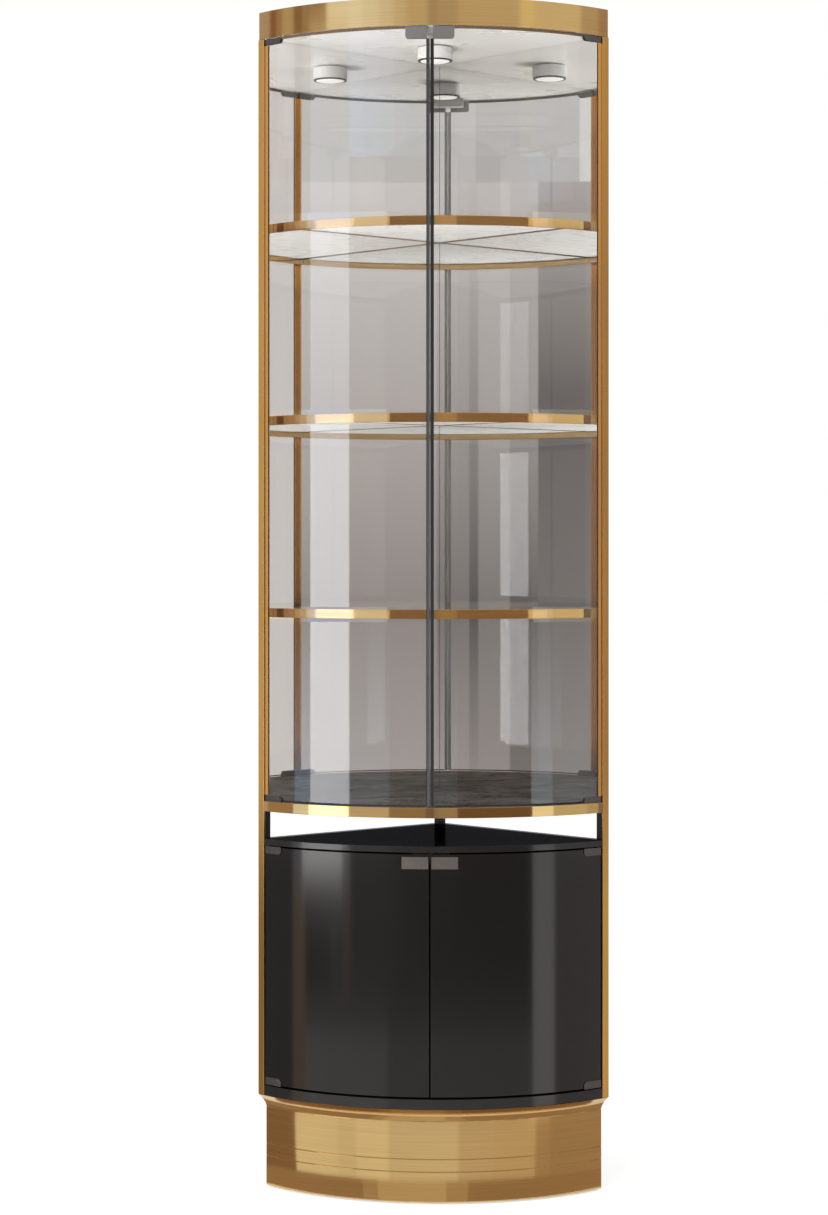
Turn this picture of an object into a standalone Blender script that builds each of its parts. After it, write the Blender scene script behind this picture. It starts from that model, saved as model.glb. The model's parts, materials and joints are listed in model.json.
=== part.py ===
"""Corner display cabinet: a quarter-circle mirrored case over a black cupboard.

Plan sizes are given along the two back walls. u runs from the rear corner along the left wall,
v along the right wall. The front is one arc about the rear corner of the mirrors.
The origin is on the floor, at the middle of the bounding box. The front faces -Y.
"""
import math

import bmesh
import bpy
from mathutils import Matrix, Vector

# Overall size
SIDE = 0.400
HEIGHT = 1.900
POST = 0.014
GAP = 0.0003

# Plinth
GLIDE_HEIGHT = 0.003
GLIDE_RADIUS = 0.014
GLIDE_EDGE = 0.001
GLIDE_INSET = 0.036
PLINTH_TOP = 0.152
PLINTH_SETBACK = 0.017
PLINTH_SHEET = 0.002
PLINTH_BACK_SHEET = 0.0015
PLINTH_BOARD = 0.012
FLARE_HEIGHT = 0.021
FLARE_POWER = 1.6
GROOVE_LEVELS = (0.051, 0.071)
GROOVE_HEIGHT = 0.0012
GROOVE_DEPTH = 0.0008

# Cupboard
RIM_HEIGHT = 0.0163
CUPBOARD_TOP = 0.5662
CUPBOARD_TOP_PANEL = 0.010
FRONT_STRIP = 0.003

# Display part
LEDGE_HEIGHT = 0.044
FLOOR_BAND = 0.0165
FLOOR_SHEET = 0.002
FLOOR_LIP = 0.0015
SLAB_RECESS = 0.001
TIER_PITCH = 0.311
SHELF_COUNT = 3
SHELF_SETBACK = 0.022
SHELF_BAND = 0.015
SHELF_SHEET = 0.0015
LINER = 0.003
RAIL_WIDTH = 0.008
MIRROR = 0.004

# Crown and lamp
CROWN_HEIGHT = 0.044
CROWN_SHEET = 0.0015
CROWN_CORNER = 0.008
CEILING = 0.004
LAMP_DISTANCE = 0.187
LAMP_RADIUS = 0.029
LAMP_BODY = 0.0215
LAMP_RECESS = 0.004
LAMP_RING = 0.002
LAMP_RING_INSET = 0.0008
LAMP_RIM = 0.0052
LENS_DOME = 0.0015
DRIVER_SIZE = (0.100, 0.034, 0.022)
DRIVER_DISTANCE = 0.095
DRIVER_EDGE = 0.002
GLAND_DISTANCE = 0.035
GLAND_LIP = 0.003
GLAND_FLANGE = 0.0012
GLAND_EDGE = 0.0006
GLAND_NECK_RADIUS = 0.005
GLAND_NECK_LENGTH = 0.006

# Doors
DOOR_THICK = 0.005
DOOR_SETBACK = 0.0025
DOOR_SIDE_GAP = 0.002
DOOR_MEET_GAP = 0.0025
DOOR_END_GAP = 0.003
PIVOT_FROM_POST = 0.006
PIN_RADIUS = 0.002
PIN_CLEARANCE = 0.0001
PIN_DEPTH = 0.003
PIN_HOLE_SPARE = 0.0004
CLAMP_LENGTH = 0.036
CLAMP_HEIGHT = 0.0135
CLAMP_PLATE = 0.0012
CLAMP_SIDE_GAP = 0.0025
CLAMP_CHAMFER = 0.004
GLASS_STRIKE = (0.0335, 0.019)
GLASS_STRIKE_INSET = 0.0035
LOWER_STRIKE = (0.0415, 0.019)
LOWER_STRIKE_INSET = 0.0012
LOWER_STRIKE_DROP = 0.004
STUD_RADIUS = 0.0025
STUD_CLEARANCE = 0.0004

# Push latches
PLUNGER_SPACING = 0.034
PLUNGER_RADIUS = 0.0035
PLUNGER_CLEARANCE = 0.0001
PLUNGER_GAP = 0.0006
PLUNGER_OUT = 0.006
PLUNGER_IN = 0.011
PLUNGER_TRAVEL = 0.0025
PLUNGER_DROP = 0.0065
LATCH_SIDE_WALL = 0.0085
LATCH_REAR_WALL = 0.008
LATCH_FLOOR = 0.0035
LATCH_EDGE = 0.001

# Mesh steps
ARC_STEP = 3.0
ROUND_SEGMENTS = 24
FLARE_STEPS = 4
CORNER_STEPS = 4
SMOOTH_ANGLE = 35.0
MERGE = 0.00001
CUT = 0.010

# Worked out from the sizes above
FRONT_RADIUS = SIDE - POST
CORNER_Y = (FRONT_RADIUS - POST * math.sqrt(2.0)) / 2.0
PLINTH_RADIUS = FRONT_RADIUS - PLINTH_SETBACK
SHELF_RADIUS = FRONT_RADIUS - SHELF_SETBACK
CARCASS_BOTTOM = PLINTH_TOP + GAP
CUPBOARD_FLOOR = CARCASS_BOTTOM + RIM_HEIGHT
CUPBOARD_CEILING = CUPBOARD_TOP - CUPBOARD_TOP_PANEL
FLOOR_BOTTOM = CUPBOARD_TOP + LEDGE_HEIGHT
FLOOR_TOP = FLOOR_BOTTOM + FLOOR_BAND
SLAB_TOP = FLOOR_TOP - SLAB_RECESS
CROWN_BOTTOM = HEIGHT - CROWN_HEIGHT
DOOR_OUTER = FRONT_RADIUS - DOOR_SETBACK
DOOR_INNER = DOOR_OUTER - DOOR_THICK
DOOR_MIDDLE = (DOOR_OUTER + DOOR_INNER) / 2.0
CLAMP_OUTER = DOOR_OUTER + GAP + CLAMP_PLATE
CLAMP_INNER = DOOR_INNER - GAP - CLAMP_PLATE
LAMP_Y = CORNER_Y - LAMP_DISTANCE
LENS_RADIUS = LAMP_RADIUS - LAMP_RIM

MATERIALS = {
    "gold_metal": {"color": (0.60, 0.42, 0.19), "roughness": 0.28, "metallic": 1.0},
    "black_board": {"color": (0.012, 0.012, 0.013), "roughness": 0.35, "metallic": 0.0},
    "black_glass": {"color": (0.010, 0.010, 0.011), "roughness": 0.08, "metallic": 0.0},
    "clear_glass": {"color": (0.90, 0.93, 0.92), "roughness": 0.02, "metallic": 0.0, "alpha": 0.2},
    "mirror": {"color": (0.85, 0.86, 0.86), "roughness": 0.02, "metallic": 1.0},
    "dark_stone": {"color": (0.075, 0.072, 0.070), "roughness": 0.18, "metallic": 0.0},
    "white_panel": {"color": (0.80, 0.80, 0.78), "roughness": 0.25, "metallic": 0.0},
    "clamp_metal": {"color": (0.16, 0.15, 0.14), "roughness": 0.38, "metallic": 1.0},
    "plate_metal": {"color": (0.32, 0.30, 0.28), "roughness": 0.35, "metallic": 1.0},
    "lamp_white": {"color": (0.80, 0.80, 0.79), "roughness": 0.35, "metallic": 0.0},
    "lamp_ring": {"color": (0.05, 0.05, 0.05), "roughness": 0.40, "metallic": 0.6},
    "lamp_lens": {"color": (0.95, 0.95, 0.92), "roughness": 0.30, "metallic": 0.0},
    "black_plastic": {"color": (0.03, 0.03, 0.03), "roughness": 0.50, "metallic": 0.0},
    "grey_plastic": {"color": (0.45, 0.45, 0.44), "roughness": 0.50, "metallic": 0.0},
    "black_rubber": {"color": (0.02, 0.02, 0.02), "roughness": 0.80, "metallic": 0.0},
}


def clear_scene():
    for thing in list(bpy.data.objects):
        bpy.data.objects.remove(thing, do_unlink=True)


def new_collection(name):
    collection = bpy.data.collections.new(name)
    bpy.context.scene.collection.children.link(collection)
    return collection


clear_scene()
PARTS = new_collection("corner_display_cabinet")
CUTTERS = new_collection("cutters")


def material(name):
    found = bpy.data.materials.get(name)
    if found:
        return found
    look = MATERIALS[name]
    made = bpy.data.materials.new(name)
    made.use_nodes = True
    shader = made.node_tree.nodes["Principled BSDF"]
    shader.inputs["Base Color"].default_value = (*look["color"], 1.0)
    shader.inputs["Roughness"].default_value = look["roughness"]
    shader.inputs["Metallic"].default_value = look["metallic"]
    shader.inputs["Alpha"].default_value = look.get("alpha", 1.0)
    return made


def place(name, mesh, look, location=(0.0, 0.0, 0.0), turn=(0.0, 0.0, 0.0)):
    """Adds a mesh as a part, or as a hidden cutter when it has no material."""
    thing = bpy.data.objects.new(name, mesh)
    thing.location = location
    thing.rotation_euler = turn
    if look:
        mesh.materials.append(material(look))
        PARTS.objects.link(thing)
    else:
        thing.hide_render = True
        thing.display_type = "WIRE"
        CUTTERS.objects.link(thing)
    return thing


# Places in plan

def plan(u, v):
    """The XY place of a point given by its distances along the two walls."""
    return ((v - u) / math.sqrt(2.0), CORNER_Y - (u + v) / math.sqrt(2.0))


def polar(radius, degrees):
    """Wall distances of a point on a circle about the rear corner, from the left wall."""
    angle = math.radians(degrees)
    return (radius * math.cos(angle), radius * math.sin(angle))


def arc(radius, start, end):
    """Points along an arc about the rear corner, from one angle to another."""
    steps = max(1, math.ceil(abs(end - start) / ARC_STEP))
    return [polar(radius, start + (end - start) * i / steps) for i in range(steps + 1)]


def degrees_off(distance, radius):
    """The angle that a straight distance takes up at a radius."""
    return math.degrees(math.asin(distance / radius))


def sector(radius, edge, corner=0.0):
    """Outline between the two walls: edge is the distance of its straight sides from them."""
    if edge >= 0.0:
        first = degrees_off(edge, radius)
        return [(edge, edge)] + arc(radius, first, 90.0 - first)
    side = [(radius, edge)]
    if corner:
        side = []
        for i in range(CORNER_STEPS + 1):
            turn = math.radians(90.0 * i / CORNER_STEPS)
            side.append((radius - corner * (1.0 - math.sin(turn)), edge + corner * (1.0 - math.cos(turn))))
    other = [(v, u) for u, v in reversed(side)]
    return [(edge, edge)] + side + arc(radius, 0.0, 90.0) + other


def ring(inner, outer, start, end):
    """Outline of a curved board between two radii and two angles."""
    return arc(outer, start, end) + list(reversed(arc(inner, start, end)))


def mirrored(outline):
    return [(v, u) for u, v in outline]


# Shapes

def upright(name, outline, bottom, top, look):
    """A plan outline raised from one level to another, as a welded mesh."""
    curve = bpy.data.curves.new(name, "CURVE")
    curve.dimensions = "2D"
    curve.fill_mode = "BOTH"
    curve.extrude = (top - bottom) / 2.0
    line = curve.splines.new("POLY")
    line.points.add(len(outline) - 1)
    for point, (u, v) in zip(line.points, outline):
        x, y = plan(u, v)
        point.co = (x, y, 0.0, 1.0)
    line.use_cyclic_u = True
    return welded(name, curve, look, (0.0, 0.0, (top + bottom) / 2.0))


def welded(name, curve, look, location, turn=(0.0, 0.0, 0.0)):
    """Makes a mesh part from a curve and joins its loose caps."""
    guide = bpy.data.objects.new(name + "_outline", curve)
    CUTTERS.objects.link(guide)
    evaluated = guide.evaluated_get(bpy.context.evaluated_depsgraph_get())
    mesh = bpy.data.meshes.new_from_object(evaluated)
    bpy.data.objects.remove(guide, do_unlink=True)
    bpy.data.curves.remove(curve)
    mesh.name = name
    mesh.materials.clear()
    shape = bmesh.new()
    shape.from_mesh(mesh)
    bmesh.ops.remove_doubles(shape, verts=shape.verts, dist=MERGE)
    bmesh.ops.recalc_face_normals(shape, faces=shape.faces)
    shape.to_mesh(mesh)
    shape.free()
    mesh.shade_smooth()
    mesh.set_sharp_from_angle(angle=math.radians(SMOOTH_ANGLE))
    return place(name, mesh, look, location, turn)


def block(name, size, centre, look, turn=0.0, edge=0.0):
    """A box with its middle at a place, turned about the vertical."""
    mesh = bpy.data.meshes.new(name)
    shape = bmesh.new()
    bmesh.ops.create_cube(shape, size=1.0, matrix=Matrix.Diagonal((*size, 1.0)))
    shape.to_mesh(mesh)
    shape.free()
    thing = place(name, mesh, look, centre, (0.0, 0.0, turn))
    if edge:
        bevel = thing.modifiers.new("edges", "BEVEL")
        bevel.width = edge
        bevel.segments = 2
    return thing


def wall_box(name, along, across, bottom, top, look):
    """A box square to the walls: along is its stretch in u, across its stretch in v."""
    size = (across[1] - across[0], along[1] - along[0], top - bottom)
    x, y = plan((along[0] + along[1]) / 2.0, (across[0] + across[1]) / 2.0)
    return block(name, size, (x, y, (top + bottom) / 2.0), look, turn=math.radians(-45.0))


def rod(name, radius, start, end, look=None):
    """A cylinder between two points."""
    start, end = Vector(start), Vector(end)
    mesh = bpy.data.meshes.new(name)
    shape = bmesh.new()
    bmesh.ops.create_cone(shape, cap_ends=True, segments=ROUND_SEGMENTS, radius1=radius, radius2=radius,
                          depth=(end - start).length)
    shape.to_mesh(mesh)
    shape.free()
    mesh.shade_smooth()
    mesh.set_sharp_from_angle(angle=math.radians(SMOOTH_ANGLE))
    thing = place(name, mesh, look, (start + end) / 2.0)
    thing.rotation_euler = (end - start).to_track_quat("Z", "Y").to_euler()
    return thing


def hole_radius(radius):
    """The radius of a faceted hole whose flats still clear a round of this radius."""
    return radius / math.cos(math.pi / ROUND_SEGMENTS)


def turned(name, profile, location, look, closed=False):
    """A profile of radius and height points, top to bottom on its outer side, turned about Z."""
    mesh = bpy.data.meshes.new(name)
    shape = bmesh.new()
    points = [shape.verts.new((radius, 0.0, level)) for radius, level in profile]
    for first, second in zip(points, points[1:]):
        shape.edges.new((first, second))
    if closed:
        shape.edges.new((points[-1], points[0]))
    shape.to_mesh(mesh)
    shape.free()
    thing = place(name, mesh, look, location)
    screw = thing.modifiers.new("turn", "SCREW")
    screw.angle = math.radians(360.0)
    screw.steps = ROUND_SEGMENTS
    screw.render_steps = ROUND_SEGMENTS
    screw.use_merge_vertices = True
    screw.merge_threshold = MERGE
    return thing


def boolean(thing, other, operation="DIFFERENCE"):
    cut = thing.modifiers.new(other.name, "BOOLEAN")
    cut.operation = operation
    cut.object = other
    cut.solver = "EXACT"
    return thing


def axis_empty(name, location):
    empty = bpy.data.objects.new(name, None)
    empty.location = location
    PARTS.objects.link(empty)
    return empty


def carry(empty, *things):
    """Parents pieces to the empty on their axis, where they are."""
    for thing in things:
        thing.parent = empty
        thing.matrix_parent_inverse = Matrix.Translation(empty.location).inverted()


# Plinth

def skirt_profile():
    """Radius and level points up the skirt, the last one beyond the level where it is cut off."""
    points = [(PLINTH_RADIUS, GLIDE_HEIGHT)]
    for i in range(FLARE_STEPS + 1):
        part = i / FLARE_STEPS
        radius = PLINTH_RADIUS + PLINTH_SETBACK * part ** FLARE_POWER
        points.append((radius, PLINTH_TOP - FLARE_HEIGHT * (1.0 - part)))
    (r1, z1), (r2, z2) = points[-2:]
    return points + [(2.0 * r2 - r1, 2.0 * z2 - z1)]


def inset_profile(points, distance):
    """The profile moved square to itself, towards the rear corner."""
    places = [Vector(point) for point in points]
    runs = [(after - before).normalized() for before, after in zip(places, places[1:])]
    squares = [Vector((-run.y, run.x)) for run in runs]
    moved = []
    for here, first, second in zip(places, squares[:1] + squares, squares + squares[-1:]):
        middle = (first + second).normalized()
        moved.append(tuple(here + middle * distance / middle.dot(first)))
    return moved


def cut_level(points, top):
    """The profile up to a level."""
    kept = [point for point in points if point[1] < top]
    (r1, z1), (r2, z2) = kept[-1], points[len(kept)]
    return kept + [(r1 + (r2 - r1) * (top - z1) / (z2 - z1), top)]


def wall_sheet(name, outline, side, look):
    """A thin upright sheet on the outer face of a wall, from its outline in u or v and height."""
    curve = bpy.data.curves.new(name, "CURVE")
    curve.dimensions = "2D"
    curve.fill_mode = "BOTH"
    curve.extrude = PLINTH_BACK_SHEET / 2.0
    line = curve.splines.new("POLY")
    line.points.add(len(outline) - 1)
    sign = -1.0 if side == "left" else 1.0
    for point, (reach, level) in zip(line.points, outline):
        point.co = (sign * reach, level, 0.0, 1.0)
    line.use_cyclic_u = True
    middle = -POST + PLINTH_BACK_SHEET / 2.0
    u, v = (0.0, middle) if side == "left" else (middle, 0.0)
    turn = (math.radians(90.0), 0.0, -sign * math.radians(45.0))
    return welded(name, curve, look, (*plan(u, v), 0.0), turn)


def build_plinth():
    profile = skirt_profile()
    columns = len(sector(PLINTH_RADIUS, -POST)) - 1
    mesh = bpy.data.meshes.new("plinth_skirt")
    shape = bmesh.new()
    bmesh.ops.create_grid(shape, x_segments=columns - 1, y_segments=len(profile) - 1, size=1.0)
    shape.verts.ensure_lookup_table()
    for i, (radius, level) in enumerate(profile):
        for j, (u, v) in enumerate(sector(radius, -POST)[1:]):
            shape.verts[i * columns + j].co = (*plan(u, v), level)
    shape.to_mesh(mesh)
    shape.free()
    skirt = place("plinth_skirt", mesh, "gold_metal")
    sheet = skirt.modifiers.new("sheet", "SOLIDIFY")
    sheet.thickness = PLINTH_SHEET
    sheet.offset = -1.0
    sheet.use_even_offset = True
    above = PLINTH_TOP + FLARE_HEIGHT
    boolean(skirt, block("skirt_top_cut", (2.0 * SIDE, 2.0 * SIDE, above - PLINTH_TOP),
                         (0.0, 0.0, (above + PLINTH_TOP) / 2.0), None))
    for number, level in enumerate(GROOVE_LEVELS):
        inner = sector(PLINTH_RADIUS - GROOVE_DEPTH, -POST - CUT)[1:]
        outer = sector(PLINTH_RADIUS + CUT, -POST - CUT)[1:]
        groove = upright(f"groove_{number + 1}", inner + outer[::-1], level - GROOVE_HEIGHT / 2.0,
                         level + GROOVE_HEIGHT / 2.0, None)
        boolean(skirt, groove)

    inside = cut_level(inset_profile(profile, PLINTH_SHEET + GAP), PLINTH_TOP)
    outline = [(-POST, GLIDE_HEIGHT)] + inside + [(-POST, PLINTH_TOP)]
    back = wall_sheet("plinth_back", outline, "left", "black_board")
    boolean(back, wall_sheet("plinth_back_right", outline, "right", None), "UNION")

    inner = -POST + PLINTH_BACK_SHEET
    board_edge = inner + GAP
    board = sector(PLINTH_RADIUS - PLINTH_SHEET - GAP, board_edge)
    upright("plinth_board", board, GLIDE_HEIGHT, GLIDE_HEIGHT + PLINTH_BOARD, "black_board")

    reach = PLINTH_RADIUS - GLIDE_INSET
    side = board_edge + GLIDE_RADIUS + GAP
    places = {
        "left": (reach, side),
        "right": (side, reach),
        "rear": (side, side),
        "front": polar(reach, 45.0),
    }
    for name, (u, v) in places.items():
        x, y = plan(u, v)
        profile = [(0.0, GLIDE_HEIGHT - GAP), (GLIDE_RADIUS, GLIDE_HEIGHT - GAP), (GLIDE_RADIUS, GLIDE_EDGE),
                   (GLIDE_RADIUS - GLIDE_EDGE, 0.0), (0.0, 0.0)]
        turned(f"glide_{name}", profile, (x, y, 0.0), "grey_plastic")


# Frame and cupboard

def build_posts():
    for side in ("left", "right"):
        outline = [(FRONT_RADIUS, 0.0), (FRONT_RADIUS, -POST), (FRONT_RADIUS - FRONT_STRIP, -POST),
                   (FRONT_RADIUS - FRONT_STRIP, 0.0)]
        deep = [(FRONT_RADIUS, 0.0), (FRONT_RADIUS, -POST), (FRONT_RADIUS - POST, -POST),
                (FRONT_RADIUS - POST, 0.0)]
        black = [(FRONT_RADIUS - FRONT_STRIP - GAP, 0.0), (FRONT_RADIUS - FRONT_STRIP - GAP, -POST),
                 (FRONT_RADIUS - POST, -POST), (FRONT_RADIUS - POST, 0.0)]
        if side == "right":
            outline, deep, black = mirrored(outline), mirrored(deep), mirrored(black)
        post = upright(f"side_post_{side}", deep, FLOOR_BOTTOM, CROWN_BOTTOM - GAP, "gold_metal")
        strip = upright(f"strip_{side}", outline, CARCASS_BOTTOM, FLOOR_BOTTOM + CUT, None)
        boolean(post, strip, "UNION")
        upright(f"lower_post_{side}", black, CARCASS_BOTTOM, FLOOR_BOTTOM - GAP, "black_board")
    wall_box("rear_post", (-POST, 0.0), (-POST, 0.0), CARCASS_BOTTOM, CROWN_BOTTOM - GAP, "black_board")


def build_cupboard():
    outline = sector(FRONT_RADIUS, GAP)
    floor = upright("lower_bottom_panel", outline, CARCASS_BOTTOM, CUPBOARD_FLOOR, "black_board")
    ceiling = upright("lower_top_panel", outline, CUPBOARD_CEILING, CUPBOARD_TOP, "black_board")
    stretch = (GAP, FRONT_RADIUS - POST - GAP)
    wall = (-POST, 0.0)
    wall_box("lower_back_left", stretch, wall, CARCASS_BOTTOM, CUPBOARD_TOP, "black_board")
    wall_box("lower_back_right", wall, stretch, CARCASS_BOTTOM, CUPBOARD_TOP, "black_board")
    return floor, ceiling


# Display part

def build_display_floor():
    outline = sector(FRONT_RADIUS, GAP)
    tray = upright("floor_tray", outline, FLOOR_BOTTOM, FLOOR_TOP, "gold_metal")
    inside = upright("floor_tray_inside", sector(FRONT_RADIUS - FLOOR_LIP, -POST), FLOOR_BOTTOM + FLOOR_SHEET,
                     FLOOR_TOP + CUT, None)
    boolean(tray, inside)
    slab = sector(FRONT_RADIUS - FLOOR_LIP - GAP, GAP)
    return upright("floor_slab", slab, FLOOR_BOTTOM + FLOOR_SHEET + GAP, SLAB_TOP, "dark_stone")


def build_mirrors():
    stretch = (GAP, FRONT_RADIUS - POST - GAP)
    glass = (-MIRROR, 0.0)
    board = (-POST, -MIRROR - GAP)
    top = CROWN_BOTTOM - GAP
    wall_box("mirror_left", stretch, glass, FLOOR_BOTTOM, top, "mirror")
    wall_box("mirror_right", glass, stretch, FLOOR_BOTTOM, top, "mirror")
    wall_box("back_panel_left", stretch, board, FLOOR_BOTTOM, top, "black_board")
    wall_box("back_panel_right", board, stretch, FLOOR_BOTTOM, top, "black_board")


def build_shelf(number):
    top = FLOOR_TOP + number * TIER_PITCH
    tray = upright(f"shelf_tray_{number}", sector(SHELF_RADIUS, GAP), top - SHELF_BAND, top, "gold_metal")
    inside = sector(SHELF_RADIUS - SHELF_SHEET, -POST)
    boolean(tray, upright(f"shelf_inside_{number}", inside, top - SHELF_BAND - CUT, top - SHELF_SHEET, None))

    liner_top = top - SHELF_SHEET - GAP
    reach = SHELF_RADIUS - SHELF_SHEET - GAP
    end = reach * math.cos(math.radians(degrees_off(RAIL_WIDTH, reach)))
    wide = RAIL_WIDTH
    rail = [(GAP, GAP), (end, GAP), (end, wide), (wide, wide), (wide, end), (GAP, end)]
    upright(f"shelf_rail_{number}", rail, liner_top - LINER, liner_top, "gold_metal")
    liner = sector(reach, RAIL_WIDTH + GAP)
    upright(f"shelf_liner_{number}", liner, liner_top - LINER, liner_top, "white_panel")


# Crown and lamp

def build_crown():
    cap = upright("crown_cap", sector(FRONT_RADIUS, -POST, CROWN_CORNER), CROWN_BOTTOM, HEIGHT, "gold_metal")
    hollow = sector(FRONT_RADIUS - CROWN_SHEET, -POST + CROWN_SHEET, CROWN_CORNER - CROWN_SHEET)
    boolean(cap, upright("crown_inside", hollow, CROWN_BOTTOM - CUT, HEIGHT - CROWN_SHEET, None))
    inset = CROWN_SHEET + GAP
    panel = sector(FRONT_RADIUS - inset, -POST + inset, CROWN_CORNER - inset)
    ceiling = upright("ceiling_panel", panel, CROWN_BOTTOM, CROWN_BOTTOM + CEILING, "white_panel")

    driver_level = CROWN_BOTTOM + CEILING + GAP + DRIVER_SIZE[2] / 2.0
    block("lamp_driver", DRIVER_SIZE, (0.0, CORNER_Y - DRIVER_DISTANCE, driver_level), "grey_plastic",
          edge=DRIVER_EDGE)

    gland_y = CORNER_Y - GLAND_DISTANCE
    hole = hole_radius(GLAND_NECK_RADIUS + GAP)
    boolean(cap, rod("gland_hole", hole, (0.0, gland_y, HEIGHT - CUT), (0.0, gland_y, HEIGHT + CUT)))
    flange = GLAND_NECK_RADIUS + GLAND_LIP
    top = GAP + GLAND_FLANGE
    profile = [(0.0, top), (flange - GLAND_EDGE, top), (flange, top - GLAND_EDGE), (flange, GAP),
               (GLAND_NECK_RADIUS, GAP), (GLAND_NECK_RADIUS, -GLAND_NECK_LENGTH), (0.0, -GLAND_NECK_LENGTH)]
    turned("cable_gland", profile, (0.0, gland_y, HEIGHT), "black_rubber")
    return ceiling


def build_lamp():
    """Heights in the profiles are measured down from the ceiling panel."""
    low = -GAP - LAMP_BODY
    recess = LENS_RADIUS + GAP
    body = [(0.0, -GAP), (LAMP_RADIUS, -GAP), (LAMP_RADIUS, low), (recess, low), (recess, low + LAMP_RECESS),
            (0.0, low + LAMP_RECESS)]
    turned("spotlight_body", body, (0.0, LAMP_Y, CROWN_BOTTOM), "lamp_white")
    ring_top = low - GAP
    outer = LAMP_RADIUS - LAMP_RING_INSET
    rim = ring_top - LAMP_RING
    profile = [(outer, ring_top), (outer, rim), (recess, rim), (recess, ring_top)]
    turned("spotlight_ring", profile, (0.0, LAMP_Y, CROWN_BOTTOM), "lamp_ring", closed=True)
    lens_top = low + LAMP_RECESS - GAP
    lens = [(0.0, lens_top), (LENS_RADIUS, lens_top), (LENS_RADIUS, rim)]
    for i in range(1, CORNER_STEPS):
        turn = math.radians(90.0 * i / CORNER_STEPS)
        lens.append((LENS_RADIUS * math.cos(turn), rim - LENS_DOME * math.sin(turn)))
    lens.append((0.0, rim - LENS_DOME))
    turned("spotlight_lens", lens, (0.0, LAMP_Y, CROWN_BOTTOM), "lamp_lens")


# Doors

def door_angles():
    """The angles from the left wall between which the left door lies."""
    return degrees_off(DOOR_SIDE_GAP, DOOR_MIDDLE), 45.0 - degrees_off(DOOR_MEET_GAP / 2.0, DOOR_MIDDLE)


def pivot_place(side):
    u, v = polar(DOOR_MIDDLE, degrees_off(PIVOT_FROM_POST, DOOR_MIDDLE))
    return plan(u, v) if side == "left" else plan(v, u)


def sided(side, start, end):
    """Angles of a stretch on the left door, or of its twin on the right door."""
    return (start, end) if side == "left" else (90.0 - end, 90.0 - start)


def slot_cutter(name, bottom, top):
    """The room that a door and its clearance take up inside a clamp."""
    outline = ring(DOOR_INNER - GAP, DOOR_OUTER + GAP, 0.0, 90.0)
    return upright(name, outline, bottom, top, None)


def corner_cut(name, degrees, level, chamfer):
    """A cutter that takes a 45 degree corner off an upright plate, square through the plate."""
    width = chamfer * math.sqrt(2.0)
    x, y = plan(*polar(DOOR_MIDDLE, degrees))
    cutter = block(name, (width, 2.0 * CUT, width), (x, y, level), None)
    cutter.rotation_euler = (0.0, math.radians(45.0), math.radians(degrees - 45.0))
    return cutter


def build_clamp(name, side, top_end, level, slot, seat):
    """A clamp round the door's outer corner, with its pivot pin, which turns in the seat."""
    start = degrees_off(CLAMP_SIDE_GAP, DOOR_MIDDLE)
    end = degrees_off(CLAMP_SIDE_GAP + CLAMP_LENGTH, DOOR_MIDDLE)
    up = 1.0 if top_end else -1.0
    cap = level + up * (GAP + CLAMP_PLATE)
    foot = level - up * CLAMP_HEIGHT
    outline = ring(CLAMP_INNER, CLAMP_OUTER, *sided(side, start, end))
    clamp = upright(name, outline, min(cap, foot), max(cap, foot), "clamp_metal")
    boolean(clamp, slot)
    far_end = end if side == "left" else 90.0 - end
    boolean(clamp, corner_cut(f"{name}_chamfer", far_end, foot, CLAMP_CHAMFER))
    x, y = pivot_place(side)
    face = level + up * DOOR_END_GAP
    root = level + up * (GAP + CLAMP_PLATE / 2.0)
    pin = rod(f"{name}_pin", PIN_RADIUS, (x, y, root), (x, y, face + up * PIN_DEPTH))
    boolean(clamp, pin, "UNION")
    hole_end = face + up * (PIN_DEPTH + PIN_HOLE_SPARE)
    bore = hole_radius(PIN_RADIUS + PIN_CLEARANCE)
    boolean(seat, rod(f"{name}_hole", bore, (x, y, face - up * CUT), (x, y, hole_end)))
    return clamp


def strike_angles(side, length, inset):
    """The stretch of a strike plate that ends a little before the door's free edge."""
    end = door_angles()[1] - degrees_off(inset, DOOR_MIDDLE)
    return sided(side, end - degrees_off(length, DOOR_MIDDLE), end)


def build_glass_strike(side, level, slot):
    length, height = GLASS_STRIKE
    outline = ring(CLAMP_INNER, CLAMP_OUTER, *strike_angles(side, length, GLASS_STRIKE_INSET))
    top = level + GAP + CLAMP_PLATE
    strike = upright(f"glass_strike_{side}", outline, top - height, top, "plate_metal")
    return boolean(strike, slot)


def build_lower_strike(side, level, door):
    """Two plates, one on each face of the door, held together by a stud through it."""
    length, height = LOWER_STRIKE
    start, end = strike_angles(side, length, LOWER_STRIKE_INSET)
    outline = ring(CLAMP_INNER, CLAMP_OUTER, start, end)
    top = level - LOWER_STRIKE_DROP
    strike = upright(f"lower_strike_{side}", outline, top - height, top, "plate_metal")
    boolean(strike, slot_cutter(f"lower_strike_slot_{side}", top - height - CUT, top + CUT))
    middle = (start + end) / 2.0
    level = top - height / 2.0
    near = plan(*polar(CLAMP_INNER + CLAMP_PLATE / 2.0, middle))
    far = plan(*polar(CLAMP_OUTER - CLAMP_PLATE / 2.0, middle))
    boolean(strike, rod(f"stud_{side}", STUD_RADIUS, (*near, level), (*far, level)), "UNION")
    inside = plan(*polar(DOOR_INNER - CUT, middle))
    outside = plan(*polar(DOOR_OUTER + CUT, middle))
    bore = hole_radius(STUD_RADIUS + STUD_CLEARANCE)
    boolean(door, rod(f"stud_hole_{side}", bore, (*inside, level), (*outside, level)))
    return strike


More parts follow.
